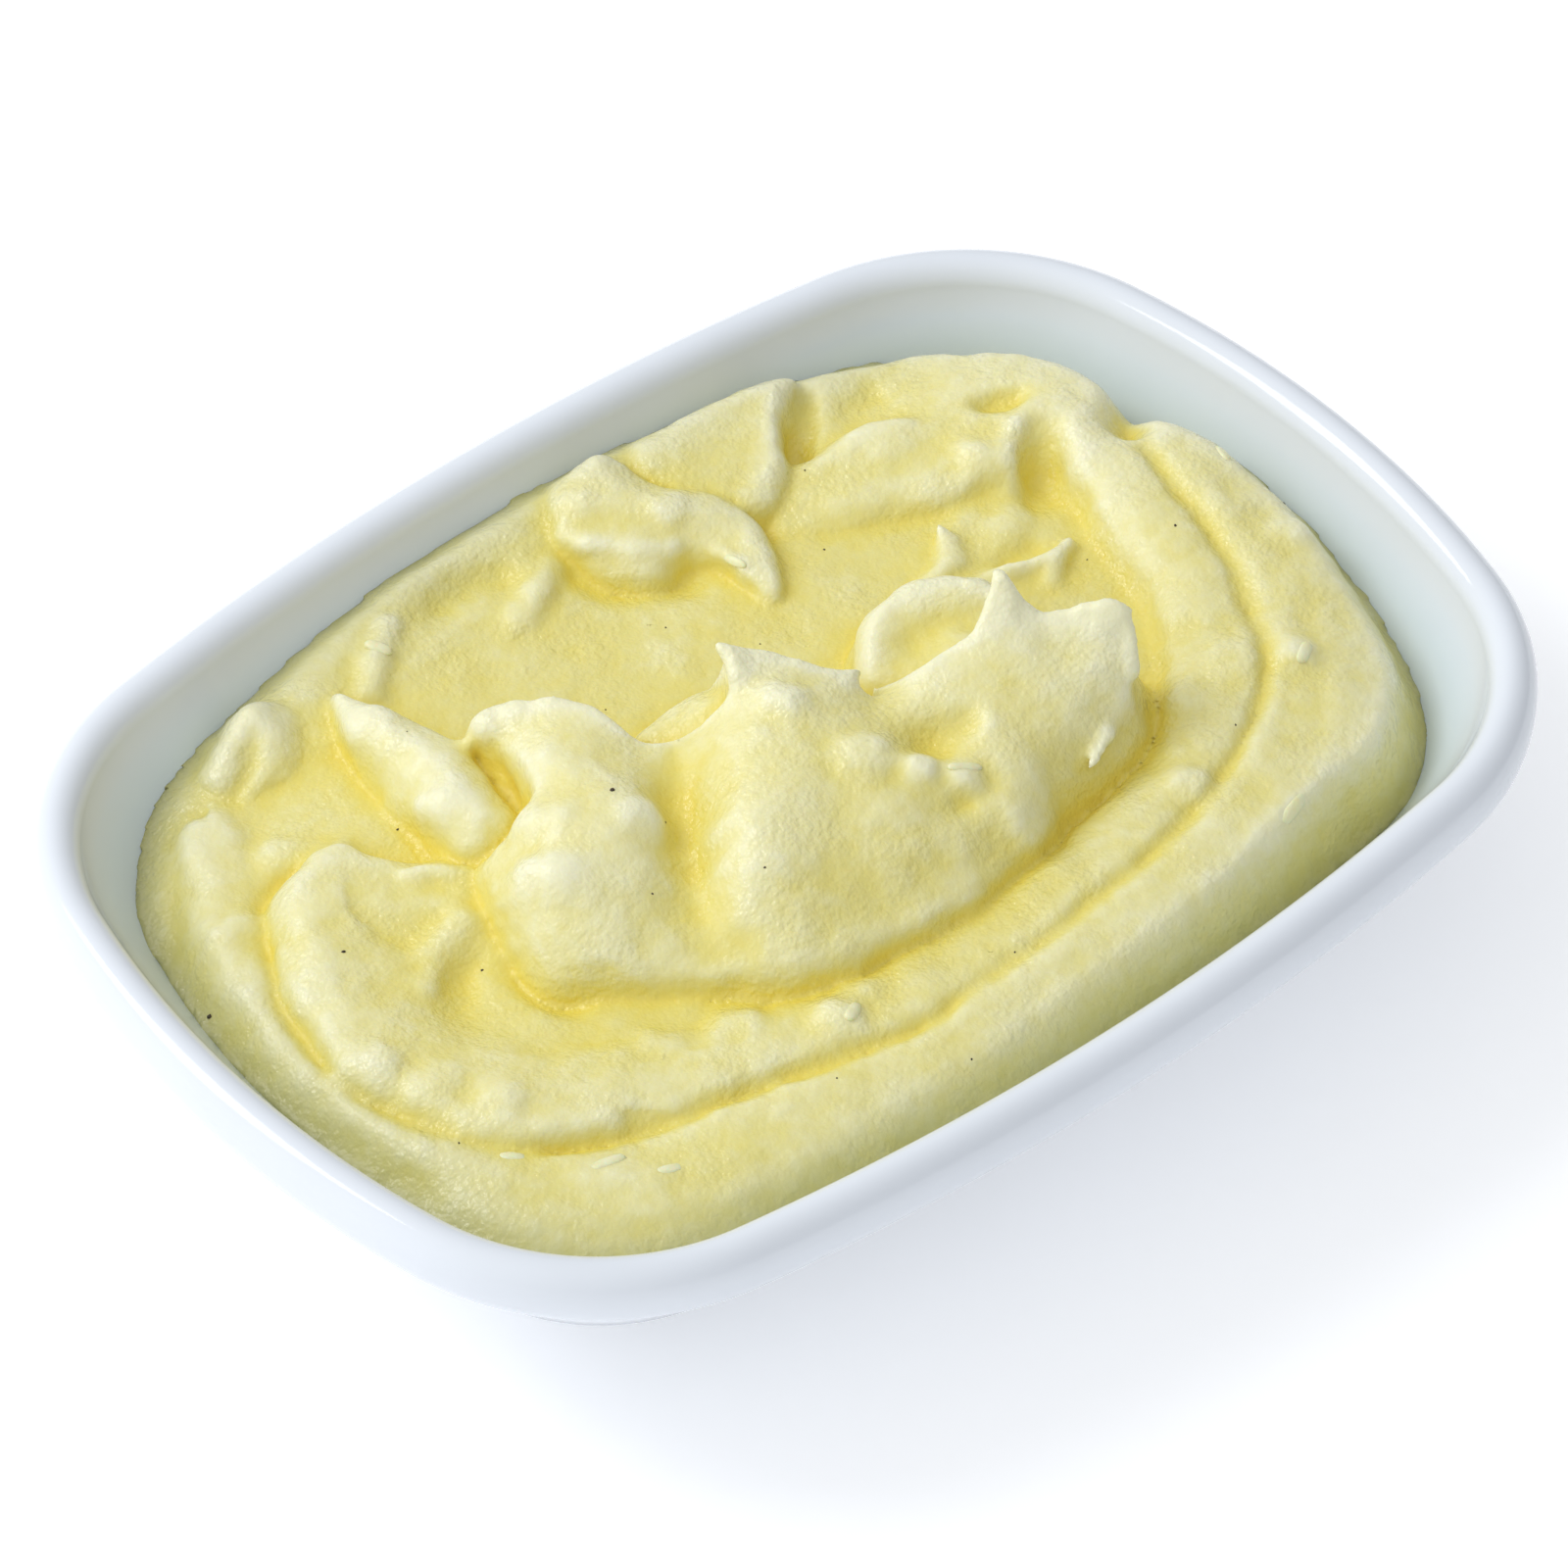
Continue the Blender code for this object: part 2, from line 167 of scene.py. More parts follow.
# Mounds: blend, step at the edge, run of the step, power of the slope, outline and ridge (x, y, z).
MOUNDS = {
    "spindle": (0.35, 2.6, 1.3, 0.8, (
        (-31.6, 39.4, 27.6), (-29.6, 36, 27.8), (-27.4, 31, 27.8), (-26, 26, 27.8),
        (-26.2, 20.6, 28.0), (-27, 16, 28.2), (-28.4, 10.4, 28.2), (-31, 8, 28.0), (-34, 9, 27.6),
        (-36.8, 11, 27.4), (-37.2, 15, 27.4), (-36.2, 19, 27.4), (-35.8, 24, 27.4),
        (-35.2, 29, 27.4), (-34, 34.4, 27.4)), (
        (-31.8, 36.4, 29.4), (-31.4, 30, 31.2), (-31.2, 24, 32.2), (-31.8, 18, 32.8),
        (-32.6, 12.6, 32.4))),
    "flap": (0.5, 1.6, 1.0, 0.75, (
        (11, 51.6, 29.6), (13.8, 49, 29.4), (14.8, 45.6, 29.0), (16, 42, 28.8), (18.6, 38.6, 28.4),
        (21, 35, 28.0), (21.6, 31, 27.6), (20.6, 27, 27.2), (18.6, 23.6, 26.8), (15.8, 21.4, 26.6),
        (14.6, 24.6, 26.4), (14.2, 29, 26.4), (12, 31.4, 26.4), (8, 31.6, 26.4), (4.6, 34.8, 26.4),
        (2.8, 39, 26.6), (2.2, 43.6, 27.0), (4, 47.6, 27.8), (7.6, 50.6, 29.0)), (
        (12, 48.2, 32.6), (11.4, 44.4, 31.8), (12.4, 40, 31.2), (15, 36.6, 30.6), (17.2, 33.4, 30.0),
        (18, 29.4, 29.0))),
    "back_flap": (0.5, 1.6, 1.0, 0.75, (
        (20, 53, 29.0), (30, 51, 29.4), (37.4, 46.6, 29.4), (38.4, 42.6, 28.6), (36, 41, 27.8),
        (33.4, 39.4, 27.2), (31.6, 36.6, 26.8), (29, 33, 26.6), (25.6, 31.2, 26.6),
        (21.8, 31.6, 26.8), (19.4, 35, 27.4), (16.6, 39.6, 28.0), (15.6, 44.6, 28.8)), (
        (34.6, 43.4, 31.4), (32.4, 40.4, 31.4), (30, 37.4, 30.6), (27, 34.6, 29.8),
        (23.6, 34.2, 29.0))),
    "knob": (1.2, 0.8, 1.6, 0.9, (
        (-42.5, 46.5, 27.0), (-38.6, 46, 27.2), (-35.6, 42, 27.0), (-37, 37.6, 26.4),
        (-41.4, 35.2, 25.8), (-45.6, 36.4, 25.4), (-48.2, 40.4, 25.6)), (
        (-44.6, 41.4, 28.4), (-42, 42.6, 29.2), (-39.4, 41, 29.6), (-38.6, 38.8, 28.6))),
    "cup": (0.6, 2.4, 1.6, 0.6, (
        (12.4, 0.4, 28.6), (13, 4, 28.4), (16.4, 8, 28.4), (21, 10, 28.6), (26, 9.4, 28.8),
        (30.6, 6.4, 29.0), (33, 2.4, 29.0), (31, -4, 29.4), (22.7, -6, 30.0), (15, -4.6, 29.0)), (
        (13.8, 1.6, 31.6), (16, 4.6, 33.2), (19.6, 6.6, 34.4), (23.4, 6.6, 35.0), (27, 4.6, 35.2),
        (29.6, 1.6, 35.2), (30, -1.6, 35.0))),
    "lens": (0.5, 2.6, 1.6, 0.6, (
        (-13, 12.4, 27.6), (-8, 13.8, 27.8), (-3, 13.4, 28.0), (2, 11.4, 28.0), (4, 6, 28.0),
        (-3, 1, 29.0), (-10, 1.6, 29.0)), (
        (-10, 9.4, 31.0), (-7, 8.6, 32.8), (-4, 7.6, 34.2), (-1.2, 6.6, 34.8))),
}

# The dollop's foot (x, y, z), its torn crest, and the points its front passes through.
DOLLOP_FOOT = (
    (-23, 23.6, 29.0), (-25.4, 22.6, 29.2), (-26, 18.6, 29.2), (-27.4, 14, 29.0), (-29.6, 10, 28.8),
    (-35.8, 9.6, 28.2), (-38, 5, 27.6), (-38.8, 0, 27.4), (-39.2, -5, 27.2), (-38.4, -8.6, 27.4),
    (-32.6, -14, 27.8), (-25, -20.6, 28.0), (-20, -24.6, 28.2), (-14.5, -26.4, 28.4),
    (-10, -27.4, 28.6), (-4.4, -28.8, 28.6), (2.2, -29, 28.8), (9, -27.6, 29.0), (13, -26.4, 29.2),
    (17.2, -24.8, 29.4), (21.8, -23.8, 29.6), (25.4, -23.2, 29.6), (30.6, -21.4, 29.6),
    (34.6, -17.4, 29.8), (35.6, -13, 29.8), (32, -10, 29.8), (28, -6, 29.8), (26, -3, 29.8),
    (20, -4, 29.8), (14, -2, 29.4), (9.4, 2, 29.0), (3.6, 8.6, 28.6), (-1.6, 12, 28.6),
    (-6, 6.4, 29.0), (-12, 8.4, 28.6), (-13, 14, 28.4), (-18, 21, 28.6))
DOLLOP_CREST = (
    (-24.8, 21.8, 32.4), (-22.6, 20.8, 33.6), (-20.5, 18.8, 35.4), (-18.6, 17, 36.2),
    (-16.8, 13.4, 36.4), (-15.9, 9.4, 35.4), (-14.8, 7.3, 34.4), (-12.4, 5.2, 34.2),
    (-9, 4.6, 35.0), (-5.6, 6.0, 37.4), (-2.6, 7.6, 40.2), (-0.4, 6.0, 40.6), (1.6, 4.3, 40.2),
    (3.6, 1.8, 39.8), (5.8, -0.4, 39.2), (8.4, -2.2, 38.2), (9.4, -3.6, 36.2), (12, -6.0, 38.2),
    (15.4, -7, 39.4), (18.2, -7.6, 40.4), (20.6, -7.6, 41.4), (22.6, -7.0, 42.4), (24.6, -6.6, 43.2),
    (25.8, -8.4, 42.0), (26.6, -10.4, 41.2), (29, -12, 41.4), (31, -13.8, 41.8), (33, -15.2, 41.8))
DOLLOP_FRONT = (
    (-24.6, 12, 36.0), (-22.8, 6, 36.8), (-20, 3, 36.2), (-28, 12, 33.8), (-32.4, 7, 33.4),
    (-29.4, 1.4, 36.0), (-27.8, -3.2, 35.6), (-24.4, -6.4, 34.2), (-35.6, 6.6, 31.2),
    (-35, -0.6, 34.0), (-33, -6, 33.8), (-29.2, -9.6, 32.6), (-37, 0, 31.2), (-36, -6.6, 31.4),
    (-33, -11, 31.0), (-28.2, -14, 30.6), (-21.8, -1.6, 36.0),
    (-14, 5.6, 34.4), (-13.8, 2.2, 33.8), (-16, -1.6, 32.8), (-18, -5, 32.2), (-20, -8.8, 31.8),
    (-23, -12.8, 31.0), (-24.6, -17, 30.0),
    (-10.4, 2.6, 35.6), (-12.2, -2.6, 36.0), (-16, -8, 35.8), (-18.8, -12, 34.8),
    (-21.6, -16, 32.8), (-22.4, -19.4, 30.6),
    (-2.8, 2.4, 39.8), (-6.6, -1.2, 39.0), (-4, -3.8, 39.4), (-9.6, -9, 38.4), (-14.4, -14.4, 36.8),
    (-18, -19, 34.0), (-19.6, -22, 31.4), (3.6, -3, 39.2), (-1.6, -8.4, 38.4), (-6, -14.2, 37.0),
    (-10, -19, 34.8), (-13.2, -23.4, 31.8), (-8.4, -25, 31.2),
    (9.8, -8.6, 37.6), (13, -10, 38.2), (17, -11.4, 39.0), (21.4, -11.2, 40.2), (19.8, -14.6, 38.2),
    (25.8, -14, 39.6), (23, -17.4, 38.0), (28.6, -16.4, 39.6), (27.4, -19.4, 37.4),
    (13.6, -15.4, 37.4), (17, -18, 36.6), (20.4, -20.4, 35.2), (24, -20.6, 35.0),
    (9, -14.4, 35.4), (5, -22, 34.2), (3.4, -11.4, 37.6), (-1.6, -17.4, 36.6), (-1.8, -22.4, 34.4),
    (3.4, -25.4, 32.6), (10.2, -24, 33.4), (14.6, -22.2, 34.4), (-6.2, -22.6, 33.4),
    (-2.4, -26, 31.2), (4.8, -26.6, 31.2), (12, -25.4, 31.4), (18.6, -23, 32.4), (7.4, -17, 36.0),
    (31, -18.6, 37.6), (29, -21, 34.4), (34, -15.4, 38.6), (34, -17.4, 35.0))

# Soft rolls and hollows: blend, then points (x, y, rise above or depth below the surface, radius).
ROLLS = (
    (2.2, ((52, 21.4, 0.8, 2.2), (48.4, 19.2, 1.0, 2.3), (45.4, 16.2, 0.9, 2.2), (42.6, 13.6, 0.4, 2.0))),
    (2.2, ((46.4, 22, 0.5, 2.2), (42.8, 19, 0.6, 2.2), (39.4, 16.6, 0.3, 2.0))),
    (1.2, ((36.6, 17.6, 2.0, 0.6), (36.4, 15.4, 1.5, 1.2), (34.6, 12.6, 1.2, 1.5),
           (31, 11.6, 1.0, 1.8), (27, 10.6, 0.8, 1.8))),
    (1.2, ((34, 8.6, 0.8, 1.2), (37.8, 7.8, 1.2, 1.1), (40.8, 6.8, 1.4, 1.1),
           (43, 6, 1.8, 1.1), (46, 6.8, 1.3, 0.9))),
    (1.0, ((43, 5.6, 1.6, 1.0), (40.8, 4, 0.9, 1.1))),
    (1.2, ((3.8, 42.4, 0.6, 1.4), (4.8, 39.4, 0.7, 1.3), (7.4, 36.2, 0.7, 1.0), (11.4, 32.6, 0.5, 0.8))),
    (0.7, ((15.2, 29, 0.6, 0.8), (15.4, 26, 0.8, 0.9), (15.4, 22.8, 0.5, 0.6))),
    (1.6, ((-19.6, 44.4, 0.6, 1.7), (-23.6, 41.2, 1.0, 1.8), (-27.2, 38.4, 0.6, 1.7))),
    (1.8, ((0.2, 40.8, 0.5, 1.6), (-3.4, 39, 0.8, 1.8), (-6.8, 37.4, 0.4, 1.6))),
    (1.2, ((-37.4, 9.6, 0.7, 1.0), (-39.8, 12, 0.8, 1.1), (-42.4, 13.8, 0.5, 0.9))),
    (2.0, ((-40.6, 4.6, 0.4, 1.8), (-45.8, 4.4, 0.6, 1.8), (-49.4, 1.8, 0.3, 1.6))),
)
HOLLOWS = (
    (2.8, ((52.6, 19, 0.5, 1.8), (50, 16.8, 1.3, 2.2), (47.8, 14.6, 0.4, 1.6))),
    (1.4, ((39.6, 9.6, 1.0, 1.4), (42.6, 9.0, 1.0, 1.4))),
    (1.0, ((37.4, 41.6, 1.0, 1.2), (35.4, 39, 1.8, 1.5), (32.6, 36.6, 2.0, 1.3))),
    (1.8, ((51.4, 27.4, 0.4, 1.2), (54.2, 26.2, 0.4, 1.2))),
    (2.4, ((19.4, 1.6, 0.7, 2.4), (23.4, 1.0, 1.0, 2.6), (26.6, -1.0, 0.8, 2.2))),
    (1.2, ((-46.6, 37.0, 0.8, 0.9), (-43.6, 37.6, 1.0, 1.0), (-41.6, 39.2, 0.5, 0.8))),
    (1.2, ((9.8, -0.4, 2.0, 1.4), (9.2, -3.0, 1.4, 1.1))),
    (1.0, ((-26, 17.4, 0.6, 0.8), (-27.4, 13.4, 0.7, 0.8))),
    (1.6, ((8.0, -13.2, 0.9, 2.2), (12.4, -14.8, 0.8, 2.2))),
    (1.4, ((6.0, -21.6, 0.4, 1.8), (9.6, -21.0, 0.5, 1.8))),
)

# Lips on the dollop's right end: points (x, y, top, radius).
END_LIP = (
    ((30.4, -13.0, 42.2, 0.5), (32.8, -14.8, 42.8, 0.6), (33.4, -16.0, 42.0, 0.7)),
    ((33.2, -15.8, 41.6, 0.7), (33.0, -17.6, 40.0, 1.0), (31.8, -19.6, 37.6, 1.2)),
    ((26, -22.2, 33.6, 0.9), (22.4, -24, 32.8, 0.7)),
)

# Small lumps: x, y, rise above the surface, radius.
LUMPS = (
    (-21.6, -1.4, 0.9, 2.0), (4.4, -15.8, 1.2, 1.6), (1.0, -11.0, 0.5, 2.4), (7.8, -19.4, 0.8, 1.2),
    (-1.6, -1.2, 0.4, 2.2), (-24.4, 21.8, 0.9, 1.5), (-22.4, 19.8, 0.5, 1.5),
    (-44.6, 21.6, 0.8, 2.0), (-61.0, -4.8, 0.7, 2.8), (-57.6, -11.2, 0.5, 2.4),
    (-53.6, -17, 0.6, 2.4), (52.4, -24.4, 0.5, 1.8), (64, -9.6, 0.5, 1.8), (-19.6, -31.4, 0.6, 2.2),
    (-15, -29.6, 0.4, 1.6), (46, -20.4, 0.4, 2.2), (-31.6, 31, 0.4, 2.2), (-33.4, 17, 0.4, 2.4),
    (6.6, 43.6, 0.4, 1.6), (-28, 4.4, 0.4, 2.8), (-33.4, -0.6, 0.4, 2.6), (-48, 26.4, 0.4, 2.2),
    (-57.6, 21, 0.4, 2.0), (-39.6, 43.4, 0.5, 1.8), (30, -31, 0.3, 1.8), (11, -25, 0.3, 1.8),
    (38, -20, 0.3, 2.2), (-28, -25, 0.4, 2.4), (-36, -22, 0.4, 2.0), (14, 36.8, 0.4, 1.8))

# Pepper: x, y, size. Potato bits: x, y, length, width, turn in degrees.
PEPPER = (
    (-22.5, 2.5, 0.55), (-54, 9.2, 0.42), (-67, 16, 0.55), (-19.6, -2.8, 0.26), (54.4, -1.2, 0.34),
    (39.6, -27.6, 0.24), (25.4, 24, 0.26), (-60.8, -18.4, 0.28), (-12.4, -44.2, 0.24), (68, -4, 0.34),
    (30.6, 33.4, 0.24), (-26.6, -9, 0.26), (-16.8, -15.8, 0.26), (-43, -0.4, 0.3),
    (-25.2, -37.4, 0.22), (0.4, -36.4, 0.24), (4.4, 26, 0.24), (-37.2, 21, 0.3), (10.6, 17.4, 0.2),
    (-8.6, 20.6, 0.2), (46.4, 4.2, 0.2), (-30.4, 27.6, 0.2))
POTATO_BITS = (
    (37, -40, 5.2, 1.6, 20), (8.8, -18.6, 4.0, 1.3, -25), (-50.4, -30.2, 4.4, 1.5, -12),
    (-46, -35, 3.0, 1.3, -20), (52.4, -24.6, 3.0, 1.6, 30), (15.2, 27.2, 3.2, 1.1, -75),
    (-22.8, 42, 3.2, 1.5, -60), (-57.4, -23, 3.0, 1.4, -40), (66.6, 4.4, 3.0, 1.4, 80),
    (-18.6, -32.4, 3.0, 1.5, 25))


# ---------------------------------------------------------------- dish outline
def arc(centre, radius, start, end, steps):
    """Points and outward normals along an arc, without its last point."""
    points = []
    for step in range(steps):
        angle = start + (end - start) * step / steps
        normal = (math.cos(angle), math.sin(angle))
        points.append((centre[0] + radius * normal[0], centre[1] + radius * normal[1], *normal))
    return points


def corner_centre(short_centre, long_centre):
    """Centre of the arc that rolls from the short side's arc into the long side's."""
    reach_short = SHORT_SIDE_RADIUS - CORNER_RADIUS
    reach_long = LONG_SIDE_RADIUS - CORNER_RADIUS
    dx = long_centre[0] - short_centre[0]
    dy = long_centre[1] - short_centre[1]
    apart = math.hypot(dx, dy)
    along = (reach_short ** 2 - reach_long ** 2 + apart ** 2) / (2 * apart)
    across = math.sqrt(reach_short ** 2 - along ** 2)
    ux, uy = dx / apart, dy / apart
    return (short_centre[0] + ux * along - uy * across, short_centre[1] + uy * along + ux * across)


def outline(short_steps, corner_steps, long_steps):
    """The rim's outermost line: rows of x, y and the outward normal, all the way round."""
    short_centre = (DISH_LENGTH / 2 - SHORT_SIDE_RADIUS, 0.0)
    long_centre = (0.0, DISH_WIDTH / 2 - LONG_SIDE_RADIUS)
    corner = corner_centre(short_centre, long_centre)
    turn_short = math.atan2(corner[1] - short_centre[1], corner[0] - short_centre[0])
    turn_long = math.atan2(corner[1] - long_centre[1], corner[0] - long_centre[0])
    quarter = arc(short_centre, SHORT_SIDE_RADIUS, 0.0, turn_short, short_steps)
    quarter += arc(corner, CORNER_RADIUS, turn_short, turn_long, corner_steps)
    quarter += arc(long_centre, LONG_SIDE_RADIUS, turn_long, math.pi / 2, long_steps)
    top = (0.0, DISH_WIDTH / 2, 0.0, 1.0)
    half = quarter + [top] + [(-x, y, -nx, ny) for x, y, nx, ny in reversed(quarter[1:])]
    return np.array(half + [(-x, -y, -nx, -ny) for x, y, nx, ny in half])


def distance_to_polyline(x, y, points, closed=False):
    """Distance to a line of points, how far along it is nearest, and True on its left."""
    points = np.asarray(points, float)
    if closed:
        points = np.vstack((points, points[:1]))
    best = np.full(x.shape, np.inf)
    place = np.zeros(x.shape)
    left = np.zeros(x.shape, bool)
    for index in range(len(points) - 1):
        ax, ay = points[index, :2]
        dx, dy = points[index + 1, :2] - points[index, :2]
        t = np.clip(((x - ax) * dx + (y - ay) * dy) / (dx * dx + dy * dy), 0.0, 1.0)
        distance = np.hypot(x - ax - t * dx, y - ay - t * dy)
        nearer = distance < best
        best = np.where(nearer, distance, best)
        place = np.where(nearer, index + t, place)
        left = np.where(nearer, dx * (y - ay) - dy * (x - ax) > 0, left)
    return best, place, left


def is_inside(x, y, points):
    """True where a plan point lies inside a closed outline."""
    inside = np.zeros(x.shape, bool)
    points = np.asarray(points, float)[:, :2]
    for (ax, ay), (bx, by) in zip(points, np.roll(points, -1, axis=0)):
        if by != ay:
            crosses = (ay > y) != (by > y)
            inside ^= crosses & (x < (bx - ax) * (y - ay) / (by - ay) + ax)
    return inside


def rounded(points, closed=False, steps=5):
    """A smooth curve through the points, as a finer line of points."""
    points = np.asarray(points, float)
    if closed:
        padded = np.vstack((points[-1:], points, points[:2]))
    else:
        padded = np.vstack((2 * points[:1] - points[1:2], points, 2 * points[-1:] - points[-2:-1]))
    fine = []
    for a, b, c, d in zip(padded[:-3], padded[1:-2], padded[2:-1], padded[3:]):
        for t in np.arange(steps) / steps:
            fine.append(0.5 * (2 * b + (c - a) * t + (2 * a - 5 * b + 4 * c - d) * t * t
                               + (3 * b - a - 3 * c + d) * t ** 3))
    if not closed:
        fine.append(points[-1])
    return np.array(fine)


# ---------------------------------------------------------------- dish
def wall_inset(height):
    """How far in from the outermost line the inner wall's straight part lies."""
    return RIM_WIDTH + WALL_LEAN * (DISH_HEIGHT - RIM_CROWN - height)


def curve(start, pull, end, steps):
    """Points of a quadratic curve after its start, up to and with its end."""
    points = []
    for step in range(1, steps + 1):
        t = step / steps
        points.append(tuple((1 - t) ** 2 * a + 2 * t * (1 - t) * b + t * t * c
                            for a, b, c in zip(start, pull, end)))
    return points


def inner_profile(steps=8):
    """The inside, from the rim's inner edge down to the flat floor: inset and height."""
    spring = DISH_HEIGHT - RIM_CROWN
    knee = FLOOR_TOP + FLOOR_FILLET
    straight = [(wall_inset(z), z) for z in np.linspace(spring - 2.0, knee, steps)]
    toe = (wall_inset(FLOOR_TOP), FLOOR_TOP)
    return straight + curve(straight[-1], toe, (toe[0] + FLOOR_FILLET, FLOOR_TOP), steps)


def rim_profile(steps=20):
    """Over the rim, from the wall's top to the foot of the outer face."""
    half = RIM_WIDTH / 2
    spring = DISH_HEIGHT - RIM_CROWN
    profile = []
    for step in range(1, steps):
        angle = math.pi * step / steps
        profile.append((half + half * math.cos(angle), spring + RIM_CROWN * math.sin(angle)))
    profile.append((0.0, spring))
    profile += curve((0.0, spring), (0.0, spring - RIM_FACE / 2), (0.35, spring - RIM_FACE + 0.6), 5)
    low = spring - RIM_FACE
    profile += curve(profile[-1], (RIM_FACE_LEAN, low - 0.1), (RIM_FACE_LEAN + 0.9, low - 0.3), 5)
    return profile


def outer_profile():
    """Under the rim and down the outside to the foot ring and the recess under it."""
    under = DISH_HEIGHT - RIM_CROWN - RIM_FACE - 0.6
    start = (RIM_FACE_LEAN + 0.9, under + 0.3)
    wall = (wall_inset(22.0) - WALL_THICKNESS, 22.0)
    profile = curve(start, (RIM_FACE_LEAN + RIM_UNDERCUT, under), wall, 6)
    for height in (19.5, 17.0, 14.5, 12.0):
        profile.append((wall_inset(height) - WALL_THICKNESS, height))
    foot_top = (FOOT_INSET - 1.6, 2.4)
    profile += curve(profile[-1], (FOOT_INSET - 5.4, 5.0), foot_top, 8)
    profile += curve(foot_top, (FOOT_INSET - 0.2, 1.6), (FOOT_INSET - 0.1, 0.5), 4)
    profile += curve(profile[-1], (FOOT_INSET, 0.0), (FOOT_INSET + 0.5, 0.0), 3)
    profile.append((FOOT_INSET + FOOT_WIDTH - 0.5, 0.0))
    profile += curve(profile[-1], (FOOT_INSET + FOOT_WIDTH, 0.0),
                     (FOOT_INSET + FOOT_WIDTH + 0.3, 0.6), 3)
    profile.append((FOOT_INSET + FOOT_WIDTH + 1.0, FOOT_RECESS))
    return profile


def new_mesh(name, vertices, faces):
    """An object in metres from millimetre vertices and faces."""
    mesh = bpy.data.meshes.new(name)
    vertices = np.asarray(vertices, np.float32) * MILLIMETRE
    if isinstance(faces, np.ndarray):
        corners = faces.shape[1]
        mesh.vertices.add(len(vertices))
        mesh.vertices.foreach_set("co", vertices.ravel())
        mesh.loops.add(faces.size)
        mesh.loops.foreach_set("vertex_index", faces.ravel().astype(np.int32))
        mesh.polygons.add(len(faces))
        mesh.polygons.foreach_set("loop_start", np.arange(0, faces.size, corners, dtype=np.int32))
        mesh.update(calc_edges=True)
    else:
        mesh.from_pydata([tuple(map(float, v)) for v in vertices], [], faces)
    mesh.validate()
    mesh.shade_smooth()
    piece = bpy.data.objects.new(name, mesh)
    bpy.context.scene.collection.objects.link(piece)
    return piece


def make_dish():
    """One closed skin, finer than the CAD dish and on the same lines."""
    plan = outline(10, 34, 22)
    count = len(plan)
    profile = inner_profile()[::-1] + rim_profile() + outer_profile()
    vertices = []
    for inset, height in profile:
        vertices.append(np.column_stack((plan[:, 0] - plan[:, 2] * inset,
                                         plan[:, 1] - plan[:, 3] * inset,
                                         np.full(count, height))))
    faces = [tuple(range(count))]
    for step in range(len(profile) - 1):
        low, high = (step + 1) * count, step * count
        for i in range(count):
            j = (i + 1) % count
            faces.append((low + i, low + j, high + j, high + i))
    last = (len(profile) - 1) * count
    faces.append(tuple(last + i for i in reversed(range(count))))
    piece = new_mesh("dish_glazed", np.vstack(vertices), faces)
    inside = np.zeros((len(profile), count), np.float32)
    inside[:len(inner_profile())] = 1.0
    layer = piece.data.attributes.new("inside", "FLOAT", "POINT")
    layer.data.foreach_set("value", inside.ravel())
    piece.data.set_sharp_from_angle(angle=math.radians(60))
    return piece


# ---------------------------------------------------------------- fields
def blend_min(a, b, k):
    """Union of two distance fields, rounded over k."""
    reach = np.clip(0.5 + 0.5 * (b - a) / k, 0.0, 1.0)
    return b + (a - b) * reach - k * reach * (1.0 - reach)


def blend_max(a, b, k):
    """Intersection of two distance fields, or the higher of two surfaces, rounded over k."""
    return -blend_min(-a, -b, k)


def lattice_weights(axis, cell, phase):
    """Smoothed interpolation weights from a lattice of that cell size to the axis's points."""
    place = (axis - axis[0]) / cell + phase
    whole = np.floor(place).astype(int)
    part = place - whole
    part = part * part * part * (part * (part * 6 - 15) + 10)
    weights = np.zeros((len(axis), whole.max() + 2), np.float32)
    rows = np.arange(len(axis))
    weights[rows, whole] = 1.0 - part
    weights[rows, whole + 1] += part
    return weights


def noise_block(axes, cell, seed):
    """Smooth random values between -1 and 1 over a grid of two or three axes."""
    random = np.random.default_rng(seed)
    weights = [lattice_weights(axis, cell, random.random()) for axis in axes]
    values = random.uniform(-1.0, 1.0, [w.shape[1] for w in weights]).astype(np.float32)
    for weight in weights:
        values = np.tensordot(values, weight, axes=([0], [1]))
    return values


